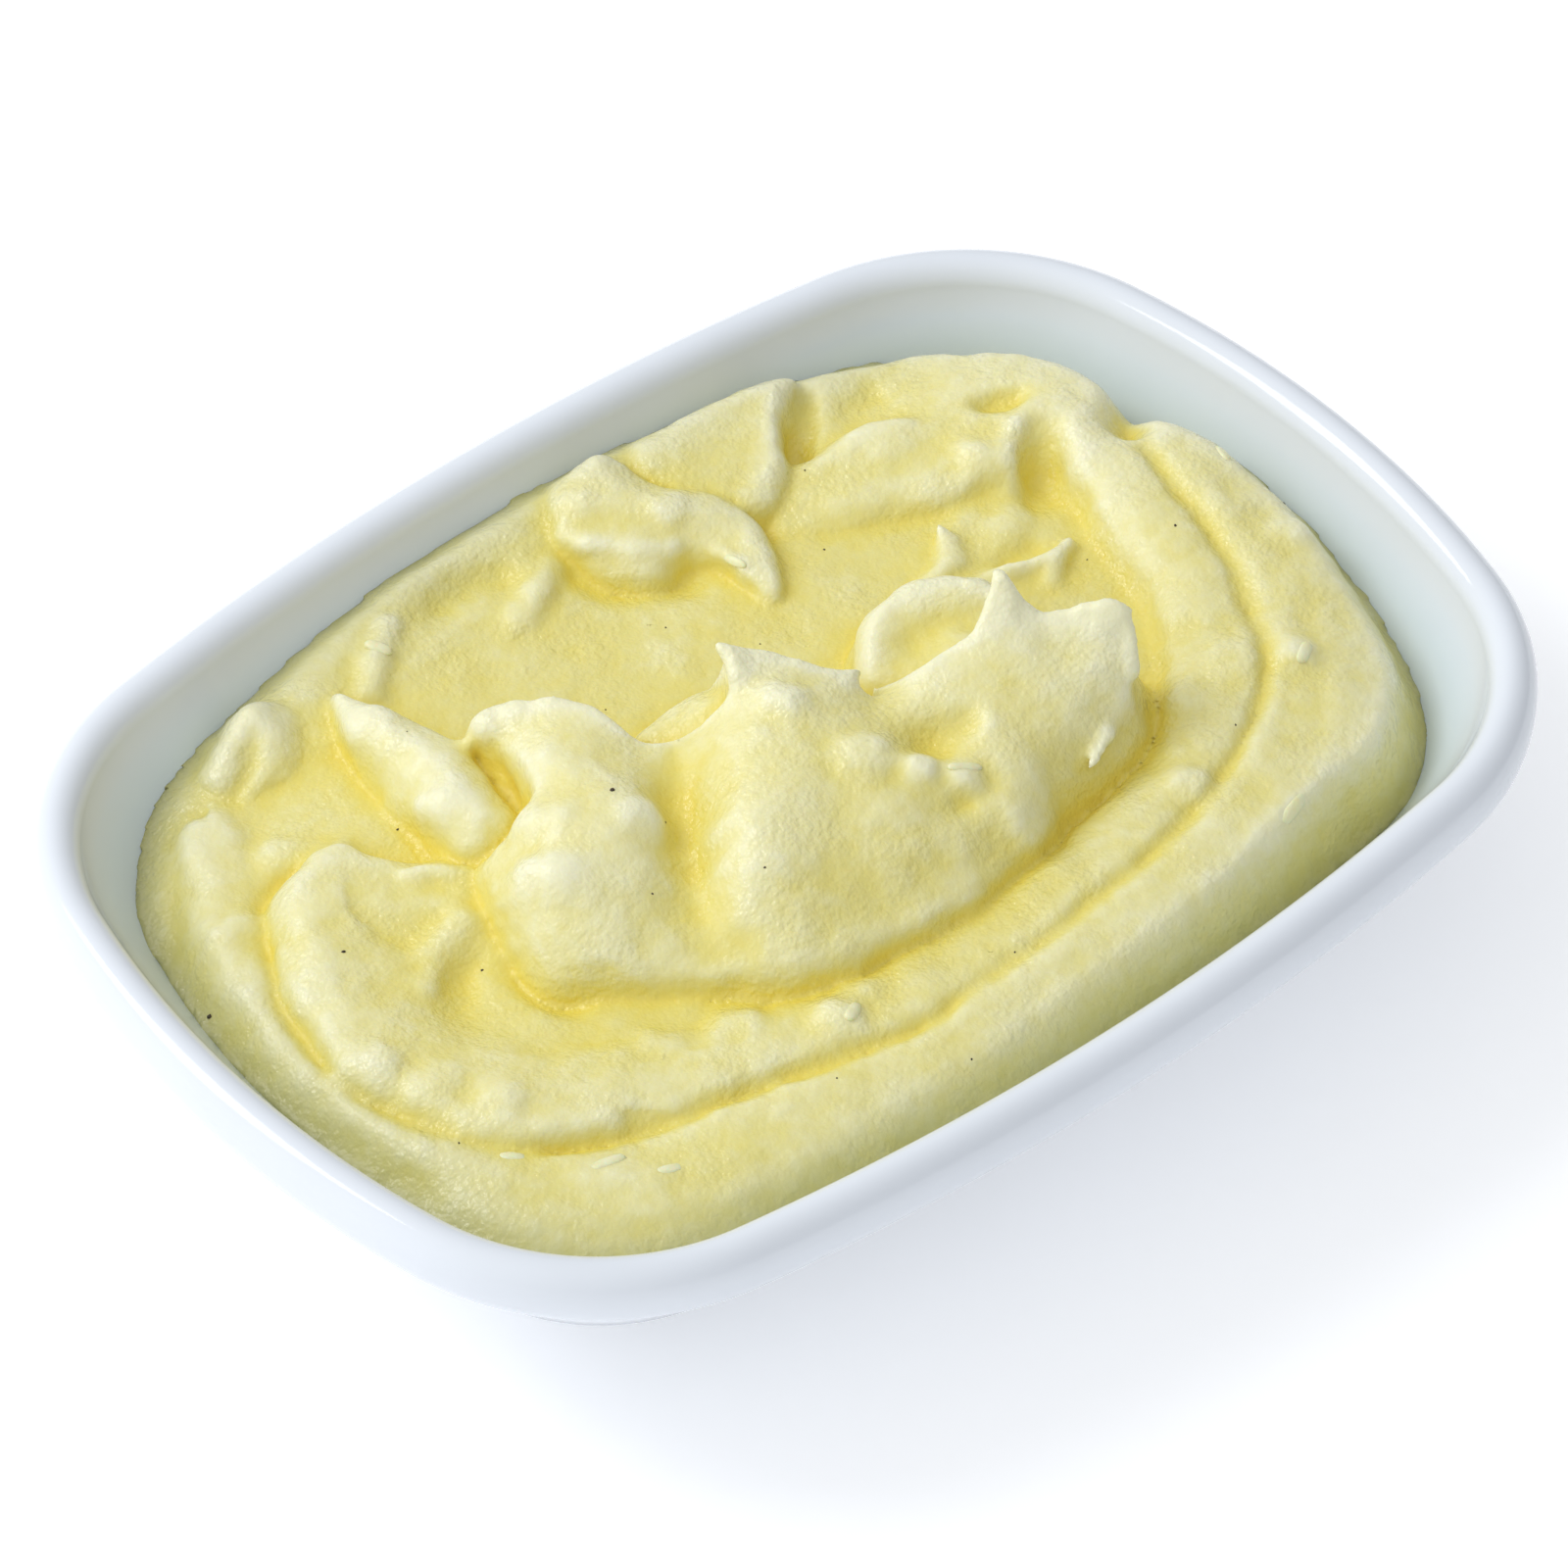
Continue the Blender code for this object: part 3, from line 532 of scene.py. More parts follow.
class Field:
    """A signed distance field in a box: below zero is mash."""

    def __init__(self, low, high, step):
        self.step = step
        self.axes = [np.arange(a, b, step, dtype=np.float32) for a, b in zip(low, high)]
        self.low = np.array(low, float)
        self.warp = [noise_block(self.axes, 9.0, 11 + n) * 0.7 for n in range(3)]
        for n in range(3):
            self.warp[n] += noise_block(self.axes, 3.2, 31 + n) * 0.3
        self.value = None

    def block(self, low, high):
        """Slices of the box between two corners, and the warped coordinates there."""
        slices = []
        for axis, a, b in zip(self.axes, low, high):
            slices.append(slice(max(0, np.searchsorted(axis, a) - 1), np.searchsorted(axis, b) + 1))
        slices = tuple(slices)
        x, y, z = (axis[part] for axis, part in zip(self.axes, slices))
        x = x[:, None, None] + self.warp[0][slices]
        y = y[None, :, None] + self.warp[1][slices]
        z = z[None, None, :] + self.warp[2][slices]
        return slices, x, y, z

    def stroke(self, points, blend, cut=False):
        """Adds or cuts a round rope through points (x, y, z, radius)."""
        points = np.asarray(points, float)
        margin = points[:, 3].max() + blend + 2.5
        low = points[:, :3].min(0) - margin
        high = points[:, :3].max(0) + margin
        slices, x, y, z = self.block(low, high)
        nearest = np.full(x.shape, 1e3, np.float32)
        for a, b in zip(points[:-1], points[1:]):
            d = b[:3] - a[:3]
            length = max(float(d @ d), 1e-6)
            px, py, pz = x - a[0], y - a[1], z - a[2]
            t = np.clip((px * d[0] + py * d[1] + pz * d[2]) / length, 0.0, 1.0)
            px, py, pz = px - t * d[0], py - t * d[1], pz - t * d[2]
            distance = np.sqrt(px * px + py * py + pz * pz) - (a[3] + t * (b[3] - a[3]))
            nearest = np.minimum(nearest, distance)
        if cut:
            self.value[slices] = blend_max(self.value[slices], -nearest, blend)
        else:
            self.value[slices] = blend_min(self.value[slices], nearest, blend)

    def plate(self, corners, thickness, blend):
        """Adds a thin rounded triangle, for torn lips and peaks."""
        a, b, c = (np.asarray(corner, float) for corner in corners)
        margin = thickness + blend + 2.5
        low = np.minimum(np.minimum(a, b), c) - margin
        high = np.maximum(np.maximum(a, b), c) + margin
        slices, x, y, z = self.block(low, high)
        normal = np.cross(b - a, a - c)
        inside = np.ones(x.shape, bool)
        edge = np.full(x.shape, 1e6, np.float32)
        for start, end in ((a, b), (b, c), (c, a)):
            d = end - start
            px, py, pz = x - start[0], y - start[1], z - start[2]
            side = np.cross(d, normal)
            inside &= (px * side[0] + py * side[1] + pz * side[2]) >= 0
            t = np.clip((px * d[0] + py * d[1] + pz * d[2]) / float(d @ d), 0.0, 1.0)
            px, py, pz = px - t * d[0], py - t * d[1], pz - t * d[2]
            edge = np.minimum(edge, px * px + py * py + pz * pz)
        px, py, pz = x - a[0], y - a[1], z - a[2]
        plane = (px * normal[0] + py * normal[1] + pz * normal[2]) ** 2 / float(normal @ normal)
        distance = np.sqrt(np.where(inside, plane, edge)) - thickness
        self.value[slices] = blend_min(self.value[slices], distance, blend)

    def sample(self, values, points):
        """Values between the grid's points, by linear interpolation."""
        place = (points - self.low) / self.step
        place = np.clip(place, 0.0, np.array(values.shape) - 1.001)
        whole = place.astype(int)
        part = place - whole
        result = np.zeros(len(points))
        for i in (0, 1):
            for j in (0, 1):
                for k in (0, 1):
                    weight = np.where(i, part[:, 0], 1 - part[:, 0])
                    weight = weight * np.where(j, part[:, 1], 1 - part[:, 1])
                    weight = weight * np.where(k, part[:, 2], 1 - part[:, 2])
                    result += weight * values[whole[:, 0] + i, whole[:, 1] + j, whole[:, 2] + k]
        return result

    def surface(self):
        """Vertices and quads of the zero surface, by surface nets."""
        value = self.value
        solid = value < 0
        cells = np.zeros(tuple(n - 1 for n in value.shape), np.int8)
        corners = [(i, j, k) for i in (0, 1) for j in (0, 1) for k in (0, 1)]
        for i, j, k in corners:
            cells += solid[i:i + cells.shape[0], j:j + cells.shape[1], k:k + cells.shape[2]]
        active = np.argwhere((cells > 0) & (cells < 8))
        index = np.full(cells.shape, -1, np.int32)
        index[tuple(active.T)] = np.arange(len(active))
        total = np.zeros((len(active), 3))
        hits = np.zeros(len(active))
        for axis in range(3):
            for i, j, k in corners:
                if (i, j, k)[axis]:
                    continue
                near = active + (i, j, k)
                far = near.copy()
                far[:, axis] += 1
                v0 = value[tuple(near.T)]
                v1 = value[tuple(far.T)]
                crossed = (v0 < 0) != (v1 < 0)
                t = np.where(crossed, v0 / np.where(crossed, v0 - v1, 1.0), 0.0)
                offset = np.zeros((len(active), 3))
                offset[:] = (i, j, k)
                offset[:, axis] += t
                total += offset * crossed[:, None]
                hits += crossed
        vertices = self.low + (active + total / hits[:, None]) * self.step
        quads = []
        for axis in range(3):
            u, v = (axis + 1) % 3, (axis + 2) % 3
            first = [slice(None)] * 3
            second = [slice(None)] * 3
            first[axis], second[axis] = slice(0, -1), slice(1, None)
            crossed = solid[tuple(first)] != solid[tuple(second)]
            edges = np.argwhere(crossed)
            edges = edges[(edges[:, u] > 0) & (edges[:, v] > 0)]
            edges = edges[(edges[:, u] < value.shape[u] - 1) & (edges[:, v] < value.shape[v] - 1)]
            ring = []
            for du, dv in ((-1, -1), (0, -1), (0, 0), (-1, 0)):
                cell = edges.copy()
                cell[:, u] += du
                cell[:, v] += dv
                ring.append(index[tuple(cell.T)])
            quad = np.column_stack(ring)
            outwards = solid[tuple(edges.T)]
            quad[~outwards] = quad[~outwards][:, ::-1]
            quads.append(quad)
        return vertices, np.vstack(quads)


# ---------------------------------------------------------------- mash
def fill_height(x, y):
    """Height at which the mash meets the wall, by bearing from the dish's middle."""
    bearing = np.degrees(np.arctan2(y, x))
    angles = [angle for angle, _ in FILL_LINE]
    depths = [depth for _, depth in FILL_LINE]
    return DISH_HEIGHT - np.interp(bearing, angles, depths, period=360.0)


def crest_height(place, points):
    """Height along a line of points at a place given in steps from its start."""
    return np.interp(place, range(len(points)), points[:, 2])


def streaks(along, across, seed):
    """Smooth random values over two coordinates, each counted in its own cells."""
    table = np.random.default_rng(seed).uniform(-1.0, 1.0, (257, 257))
    u, v = np.floor(along).astype(int), np.floor(across).astype(int)
    s, t = along - u, across - v
    s, t = s * s * (3 - 2 * s), t * t * (3 - 2 * t)
    u, v = u % 256, v % 256
    near = table[u, v] * (1 - s) + table[u + 1, v] * s
    far = table[u, v + 1] * (1 - s) + table[u + 1, v + 1] * s
    return near * (1 - t) + far * t


def line_pull(x, y, points):
    """Height along a line of points and distance to it, both without seams between its parts."""
    steps = np.hypot(*np.diff(points[:, :2], axis=0).T)
    total = np.full(x.shape, 1e-12)
    height = np.zeros(x.shape)
    for (ax, ay, az), step in zip((points[:-1] + points[1:]) / 2, steps):
        pull = step / ((x - ax) ** 2 + (y - ay) ** 2 + 0.3) ** 2.5
        total += pull
        height += pull * az
    return height / total, (total * 0.75) ** -0.25


def mound_surface(x, y, spec):
    """Height of a mound: a rounded step at its outline, then a slope up to its ridge."""
    _, step, run, power, edge, ridge = spec
    edge = rounded(edge, closed=True)
    to_edge = distance_to_polyline(x, y, edge, closed=True)[0]
    base, _ = line_pull(x, y, np.vstack((edge, edge[:1])))
    crest, to_ridge = line_pull(x, y, rounded(ridge, steps=8))
    share = (to_edge / (to_edge + to_ridge + 0.01)) ** power
    climb = step * (1.0 - np.exp(-to_edge / run))
    height = base + climb + (crest - base - climb) * share
    return np.where(is_inside(x, y, edge), height, base - 2.5 * to_edge)


def sheet_through(x, y, points, slack=0.4):
    """A smooth surface through scattered points (x, y, z): a thin plate spline."""
    points = np.asarray(points, float)

    def bend(squared):
        return squared * np.log(squared + 1e-9)

    count = len(points)
    system = np.zeros((count + 3, count + 3))
    apart = np.subtract.outer(points[:, 0], points[:, 0]) ** 2
    apart += np.subtract.outer(points[:, 1], points[:, 1]) ** 2
    system[:count, :count] = bend(apart) + slack * np.eye(count)
    flat = np.column_stack((np.ones(count), points[:, :2]))
    system[:count, count:] = flat
    system[count:, :count] = flat.T
    weights = np.linalg.solve(system, np.append(points[:, 2], (0.0, 0.0, 0.0)))
    height = weights[count] + weights[count + 1] * x + weights[count + 2] * y
    for (ax, ay, _), weight in zip(points, weights):
        height = height + weight * bend((x - ax) ** 2 + (y - ay) ** 2)
    return height


def dollop_surface(x, y):
    """The torn dollop: a front through its points, a steep back, and a rounded foot."""
    foot = rounded(DOLLOP_FOOT, closed=True)
    crest = np.array(DOLLOP_CREST)
    to_foot = distance_to_polyline(x, y, foot, closed=True)[0]
    base, _ = line_pull(x, y, np.vstack((foot, foot[:1])))
    back_points = crest + (1.3, 1.5, 0.6)
    front_foot = np.array(DOLLOP_FOOT[5:22]) + (0.0, 0.0, 1.2)
    front = sheet_through(x, y, np.vstack((DOLLOP_FRONT, crest, back_points, front_foot)))
    distance, place, left = distance_to_polyline(x, y, rounded(crest, steps=4))
    behind = np.where(left, distance, -distance)
    back = crest_height(place, rounded(crest, steps=4)) + 0.5 - 2.4 * (behind - 0.5)
    height = np.where(behind > 0, blend_min(front, back, 0.5), front)
    near = np.clip(to_foot / 1.6, 0.0, 1.0)
    swell = base + 1.8 * np.sqrt(1.0 - (1.0 - near) ** 2) + 4.6 * np.maximum(to_foot - 0.7, 0.0)
    height = blend_min(height, swell, 0.8)
    return np.where(is_inside(x, y, foot), height, base - 2.5 * to_foot)


def side_fall(distance, width, fall):
    """How far a fold has dropped at a distance from its crest."""
    share = distance / width
    ledge = 1.0 - np.sqrt(1.0 - np.clip(share, 0.0, 0.995) ** 2) + 2.5 * np.maximum(share - 0.995, 0.0)
    return abs(fall) * (ledge if fall < 0 else share ** 2)


def broad_surface(x, y, inset):
    """Height of the mash's surface over the plan, before the overhanging pieces."""
    fill = fill_height(x, y)
    from_edge = np.maximum(inset - wall_inset(fill), 0.0)
    rise = SHOULDER_RISE * (1.0 - np.exp(-from_edge / SHOULDER_RUN))
    inward = np.clip(from_edge / MIDDLE_RUN, 0.0, 1.0)
    inward = inward * inward * (3.0 - 2.0 * inward)
    top = (fill + rise) * (1.0 - inward) + MIDDLE_LEVEL * inward
    around = np.arctan2(y / DISH_WIDTH, x / DISH_LENGTH) * 11.0 + 60.0
    comb = np.clip((COMB_REACH - from_edge) / COMB_FADE, 0.0, 1.0)
    top = top + comb * COMB_DEPTH * streaks(around * 0.5, inset / 2.4, 7)
    for seed, (left_width, left_fall, right_width, right_fall, blend, points) in enumerate(
            FOLDS.values()):
        points = rounded(points)
        distance, place, left = distance_to_polyline(x, y, points)
        drop = np.where(left, side_fall(distance, left_width, left_fall),
                        side_fall(distance, right_width, right_fall))
        crest = crest_height(place, points) + FOLD_RIPPLE * streaks(place * 0.12, distance * 0.45, seed)
        top = blend_max(crest - drop, top, blend)
    for half_width, depth, points in CREASES.values():
        top = top - groove(x, y, half_width, depth, points)
    for name in ("back_flap", "flap", "knob", "cup", "lens"):
        top = blend_max(mound_surface(x, y, MOUNDS[name]), top, MOUNDS[name][0])
    top = blend_max(dollop_surface(x, y), top, 0.4)
    top = blend_max(mound_surface(x, y, MOUNDS["spindle"]), top, MOUNDS["spindle"][0])
    near_wall = np.clip(from_edge / (SHOULDER_RUN * 2.0), 0.0, 1.0)
    near_wall = near_wall * near_wall * (3.0 - 2.0 * near_wall)
    edge = fill + SHOULDER_RISE * near_wall
    return np.where(near_wall < 1.0, edge * (1.0 - near_wall) + top * near_wall, top)


def groove(x, y, half_width, depth, points):
    """Depth of a groove that fades out at both ends."""
    points = rounded(points, steps=4)
    distance, place, _ = distance_to_polyline(x, y, points)
    ends = np.clip(np.minimum(place, len(points) - 1 - place) / 3.0, 0.15, 1.0)
    return depth * ends * np.exp(-((distance / half_width) ** 2))


def cavity_depth(inset, heights):
    """How deep in the dish's hollow each plan point is at each height; below zero is glaze."""
    profile = [(RIM_WIDTH - 8.0, DISH_HEIGHT + 9.0)] + inner_profile() + [(90.0, FLOOR_TOP)]
    samples = np.arange(0.0, 62.0, 0.25)
    s, z = np.meshgrid(samples, heights, indexing="ij")
    distance = distance_to_polyline(s, z, profile)[0]
    edge = np.array(profile)
    wall_height = np.interp(s, edge[:, 0], edge[:, 1])
    table = np.where(z > wall_height, distance, -distance).astype(np.float32)
    return table[np.clip((inset / 0.25).round().astype(int), 0, len(samples) - 1)]


def rope(points):
    """A rope whose top runs through the points (x, y, top, radius): its middle line lies lower."""
    return [(x, y, top - radius, radius) for x, y, top, radius in points]


def add_lips(field):
    """Torn thin peaks on the dollop's crest."""
    # horn at the middle lobe's left end
    field.stroke(((-2.4, 8.8, 41.6, 0.3), (-1.6, 7.4, 40.6, 0.8), (-2.2, 5.2, 39.0, 1.3)), 1.4)
    field.plate(((-2.2, 8.6, 41.4), (-2.6, 5.4, 39.0), (1.6, 4.6, 39.6)), 0.4, 1.2)
    # right lobe's peak
    field.stroke(((24.4, -5.2, 45.2, 0.35), (24.6, -6.4, 43.6, 0.9), (24.0, -8.0, 41.6, 1.4)), 1.6)
    field.plate(((24.4, -5.4, 45.0), (21.0, -7.6, 41.0), (26.2, -9.0, 41.4)), 0.45, 1.4)


def add_small_forms(field, top):
    """Soft rolls, hollows and lumps, placed by the surface they lie on."""
    def placed(points, sign):
        result = []
        for x, y, rise, radius in points:
            i = int(round((x - field.low[0]) / field.step))
            j = int(round((y - field.low[1]) / field.step))
            result.append((x, y, top[i, j] + sign * (rise - radius), radius))
        return result

    for blend, points in ROLLS:
        field.stroke(placed(points, 1.0), blend)
    for blend, points in HOLLOWS:
        field.stroke(placed(points, -1.0), blend, cut=True)
    for points in END_LIP:
        field.stroke(rope(points), 1.2)
    for x, y, rise, radius in LUMPS:
        field.stroke(placed(((x, y, rise, radius),
                             (x - 0.3 * radius, y + 0.4 * radius, rise - 0.1, 0.9 * radius)), 1.0), 2.2)


def smooth_vertices(vertices, quads, rounds, strength):
    """Moves each vertex towards the middle of its neighbours."""
    pairs = np.vstack([quads[:, [i, (i + 1) % 4]] for i in range(4)])
    count = np.bincount(pairs[:, 0], minlength=len(vertices)).astype(float)
    count += np.bincount(pairs[:, 1], minlength=len(vertices))
    for _ in range(rounds):
        total = np.zeros_like(vertices)
        for axis in range(3):
            total[:, axis] = np.bincount(pairs[:, 0], vertices[pairs[:, 1], axis], len(vertices))
            total[:, axis] += np.bincount(pairs[:, 1], vertices[pairs[:, 0], axis], len(vertices))
        vertices = vertices + (total / count[:, None] - vertices) * strength
    return vertices


def box_blur(values, radius, step):
    """Running mean along each axis."""
    reach = max(1, int(round(radius / step)))
    for axis in range(values.ndim):
        padded = np.concatenate((np.repeat(values.take([0], axis), reach + 1, axis), values,
                                 np.repeat(values.take([-1], axis), reach, axis)), axis)
        running = np.cumsum(padded, axis, dtype=np.float32)
        size = values.shape[axis]
        upper = running.take(range(2 * reach + 1, 2 * reach + 1 + size), axis)
        values = (upper - running.take(range(size), axis)) / (2 * reach + 1)
    return values


def thin_out(vertices, quads, hidden, cell):
    """Merges the hidden vertices in each coarse cell, and returns triangles."""
    keys = np.floor(vertices / cell).astype(np.int64)
    code = (keys[:, 0] * 4096 + keys[:, 1]) * 4096 + keys[:, 2]
    code = np.where(hidden, code - code.min(), np.arange(len(vertices)) + code.max() * 4)
    _, group = np.unique(code, return_inverse=True)
    members = np.bincount(group).astype(float)
    merged = np.column_stack([np.bincount(group, vertices[:, axis]) / members for axis in range(3)])
    triangles = np.vstack((quads[:, [0, 1, 2]], quads[:, [0, 2, 3]]))
    triangles = group[triangles]
    a, b, c = triangles.T
    return merged, triangles[(a != b) & (b != c) & (c != a)], group


def make_mash():
    """The whole heap, from the dish's floor up to its torn lips."""
    low = (-DISH_LENGTH / 2 + 5, -DISH_WIDTH / 2 + 5, FLOOR_TOP - 1.5)
    high = (DISH_LENGTH / 2 - 5, DISH_WIDTH / 2 - 5, DISH_HEIGHT + 15)
    field = Field(low, high, VOXEL)
    x, y = np.meshgrid(field.axes[0], field.axes[1], indexing="ij")
    plan = outline(6, 16, 10)
    inset = distance_to_polyline(x, y, plan[:, :2], closed=True)[0]
    inset = np.where(is_inside(x, y, plan), inset, -inset)
    middle = len(field.axes[2]) // 2
    calm = np.clip((inset - 12.0) / 4.0, 0.0, 1.0)
    top = broad_surface(x + field.warp[0][:, :, middle] * calm,
                        y + field.warp[1][:, :, middle] * calm, inset)
    slope_x, slope_y = np.gradient(top, VOXEL)
    steepness = np.sqrt(1.0 + slope_x ** 2 + slope_y ** 2)
    field.value = ((field.axes[2][None, None, :] - top[:, :, None]) / steepness[:, :, None])
    field.value = field.value.astype(np.float32)
    add_small_forms(field, top)
    add_lips(field)
    for cell, seed, strength in GRAIN:
        field.value += noise_block(field.axes, cell, seed) * strength
    depth = cavity_depth(inset, field.axes[2])
    field.value = np.maximum(field.value, -depth - SUNK_IN_WALL)
    vertices, quads = field.surface()
    # Blurred share of solid round each vertex, for the mash's painted crease shade: above one half in
    # hollows, below on crests.
    solid = np.clip(0.5 - field.value / VOXEL, 0.0, 1.0)
    near = field.sample(box_blur(box_blur(solid, 1.0, VOXEL), 1.0, VOXEL), vertices)
    wide_crease_shade = field.sample(box_blur(box_blur(solid, 3.0, VOXEL), 3.0, VOXEL), vertices)
    sunk = field.sample(depth, vertices)
    vertices = smooth_vertices(vertices, quads, 2, 0.5)
    hidden = (sunk < 0.6) & (vertices[:, 2] < fill_height(vertices[:, 0], vertices[:, 1]) - 1.5)
    full_vertices = vertices
    vertices, triangles, group = thin_out(vertices, quads, hidden, 2.8)
    piece = new_mesh("mash_heap", vertices, triangles)
    column = ((full_vertices - field.low) / VOXEL).round().astype(int)
    # Height above a wide blur of the surface, for the mash's painted basin shade.
    relief = top - box_blur(box_blur(top, 9.0, VOXEL), 9.0, VOXEL)
    relief = relief[np.clip(column[:, 0], 0, top.shape[0] - 1), np.clip(column[:, 1], 0, top.shape[1] - 1)]
    # The last value, closeness to the wall, feeds the mash's painted contact shadow.
    for name, values in (("crease_near", near), ("crease_wide", wide_crease_shade), ("relief", relief),
                         ("wall_contact_shade", np.exp(-np.maximum(sunk, 0.0) / 4.2))):
        mean = np.bincount(group, values) / np.bincount(group)
        layer = piece.data.attributes.new(name, "FLOAT", "POINT")
        layer.data.foreach_set("value", mean.astype(np.float32))
    return piece


# ---------------------------------------------------------------- pepper and potato bits
def ball(rings, sides):
    """Unit ball as vertices and faces."""
    vertices = [(0.0, 0.0, 1.0)]
    for ring in range(1, rings):
        tilt = math.pi * ring / rings
        for side in range(sides):
            turn = 2 * math.pi * side / sides
            vertices.append((math.sin(tilt) * math.cos(turn), math.sin(tilt) * math.sin(turn),
                             math.cos(tilt)))
    vertices.append((0.0, 0.0, -1.0))
    faces = [(0, 1 + i, 1 + (i + 1) % sides) for i in range(sides)]
    for ring in range(rings - 2):
        a = 1 + ring * sides
        b = a + sides
        faces += [(a + i, b + i, b + (i + 1) % sides, a + (i + 1) % sides) for i in range(sides)]
    last = len(vertices) - 1
    faces += [(last, last - sides + (i + 1) % sides, last - sides + i) for i in range(sides)]
    return np.array(vertices), faces


def drop_on(tree, x, y):
    """Height and normal of the mash under a plan point, in millimetres."""
    place, normal, _, _ = tree.ray_cast(Vector((x, y, 80.0)), Vector((0, 0, -1)))
    return np.array(place), np.array(normal)


def seated(tree, x, y, size, turn, sink):
    """Matrix columns and place for a small thing that lies on the mash's surface."""
    place, normal = drop_on(tree, x, y)
    along = np.array((math.cos(math.radians(turn)), math.sin(math.radians(turn)), 0.0))
    along -= normal * (along @ normal)
    along /= np.linalg.norm(along)
    across = np.cross(normal, along)
    axes = np.array((along * size[0], across * size[1], normal * size[2]))
    return axes, place - normal * sink


def make_scatter(name, tree, things, rings, sides, roughness, seed):
    """One mesh of small lumps: (x, y, size of three axes, turn, depth sunk)."""
    random = np.random.default_rng(seed)
    vertices, faces = [], []
    unit, unit_faces = ball(rings, sides)
    for x, y, size, turn, sink in things:
        axes, place = seated(tree, x, y, size, turn, sink)
        shape = unit * (1.0 + random.uniform(-roughness, roughness, (len(unit), 1)))
        squared = np.sign(shape) * np.abs(shape) ** 0.8
        start = sum(len(block) for block in vertices)
        vertices.append(squared @ axes + place)
        faces += [tuple(start + corner for corner in face) for face in unit_faces]
    return new_mesh(name, np.vstack(vertices), faces)


def make_small_things(mash):
    """Pepper specks and pale bits of potato that lie on the mash."""
    points = [vertex.co / MILLIMETRE for vertex in mash.data.vertices]
    tree = BVHTree.FromPolygons(points, [tuple(face.vertices) for face in mash.data.polygons])
    specks = [(x, y, (size * 0.62, size * 0.46, size * 0.34), 97 * x, size * 0.05)
              for x, y, size in PEPPER]
    pepper = make_scatter("pepper_specks", tree, specks, 4, 6, 0.25, 3)
    pieces = [(x, y, (length / 2, width / 2, width * 0.34), turn, width * 0.20)
              for x, y, length, width, turn in POTATO_BITS]
    bits = make_scatter("potato_bits", tree, pieces, 10, 14, 0.05, 4)
    return pepper, bits


# ---------------------------------------------------------------- materials
def new_material(name):
    """A node material and its Principled shader."""
    material = bpy.data.materials.new(name)
    material.use_nodes = True
    return material, material.node_tree.nodes["Principled BSDF"]


def set_inputs(shader, **values):
    """Sets a shader's sockets by name, with underscores for spaces."""
    for name, value in values.items():
        shader.inputs[name.replace("_", " ")].default_value = value


class Shading:
    """Short names for building one material's nodes."""

    def __init__(self, name):
        self.material, self.shader = new_material(name)
        self.tree = self.material.node_tree
        place = self.tree.nodes.new("ShaderNodeTexCoord")
        scale = self.tree.nodes.new("ShaderNodeMapping")
        scale.inputs["Scale"].default_value = (1000.0, 1000.0, 1000.0)
        self.tree.links.new(place.outputs["Object"], scale.inputs["Vector"])
        self.millimetres = scale.outputs["Vector"]

    def put(self, value, socket):
        """Links an output to a socket, or sets the socket to a number."""
        if isinstance(value, bpy.types.NodeSocket):
            self.tree.links.new(value, socket)
        else:
            socket.default_value = value

    def noise(self, size, detail=2.0, stretch=(1.0, 1.0, 1.0)):
        """Noise with features of that many millimetres."""
        squeeze = self.tree.nodes.new("ShaderNodeMapping")
        squeeze.inputs["Scale"].default_value = tuple(1.0 / part for part in stretch)
        self.tree.links.new(self.millimetres, squeeze.inputs["Vector"])
        noise = self.tree.nodes.new("ShaderNodeTexNoise")
        noise.inputs["Scale"].default_value = 1.0 / size
        noise.inputs["Detail"].default_value = detail
        self.tree.links.new(squeeze.outputs["Vector"], noise.inputs["Vector"])
        return noise.outputs["Fac"]

    def attribute(self, name):
        """A value stored on the mesh."""
        node = self.tree.nodes.new("ShaderNodeAttribute")
        node.attribute_name = name
        return node.outputs["Fac"]

    def math(self, operation, a, b, clamp=False):
        """Arithmetic on two values."""
        node = self.tree.nodes.new("ShaderNodeMath")
        node.operation = operation
        node.use_clamp = clamp
        self.put(a, node.inputs[0])
        self.put(b, node.inputs[1])
        return node.outputs[0]

    def span(self, value, low, high, start=0.0, end=1.0):
        """A value's span from low to high, moved to another span and kept inside it."""
        node = self.tree.nodes.new("ShaderNodeMapRange")
        self.put(value, node.inputs["Value"])
        self.put(low, node.inputs["From Min"])
        self.put(high, node.inputs["From Max"])
        self.put(start, node.inputs["To Min"])
        self.put(end, node.inputs["To Max"])
        return node.outputs["Result"]

    def ramp(self, value, *stops):
        """Colours by value: (place, colour) pairs."""
        node = self.tree.nodes.new("ShaderNodeValToRGB")
        elements = node.color_ramp.elements
        for index, (place, colour) in enumerate(stops):
            element = elements[index] if index < 2 else elements.new(place)
            element.position = place
            element.color = (*colour, 1)
        self.put(value, node.inputs["Fac"])
        return node.outputs["Color"]

    def bump(self, height, strength, depth, under=None):
        """Bump of a height, strength and depth in millimetres."""
        node = self.tree.nodes.new("ShaderNodeBump")
        self.put(height, node.inputs["Height"])
        self.put(strength, node.inputs["Strength"])
        node.inputs["Distance"].default_value = depth * MILLIMETRE
        if under is not None:
            self.put(under, node.inputs["Normal"])
        return node.outputs["Normal"]


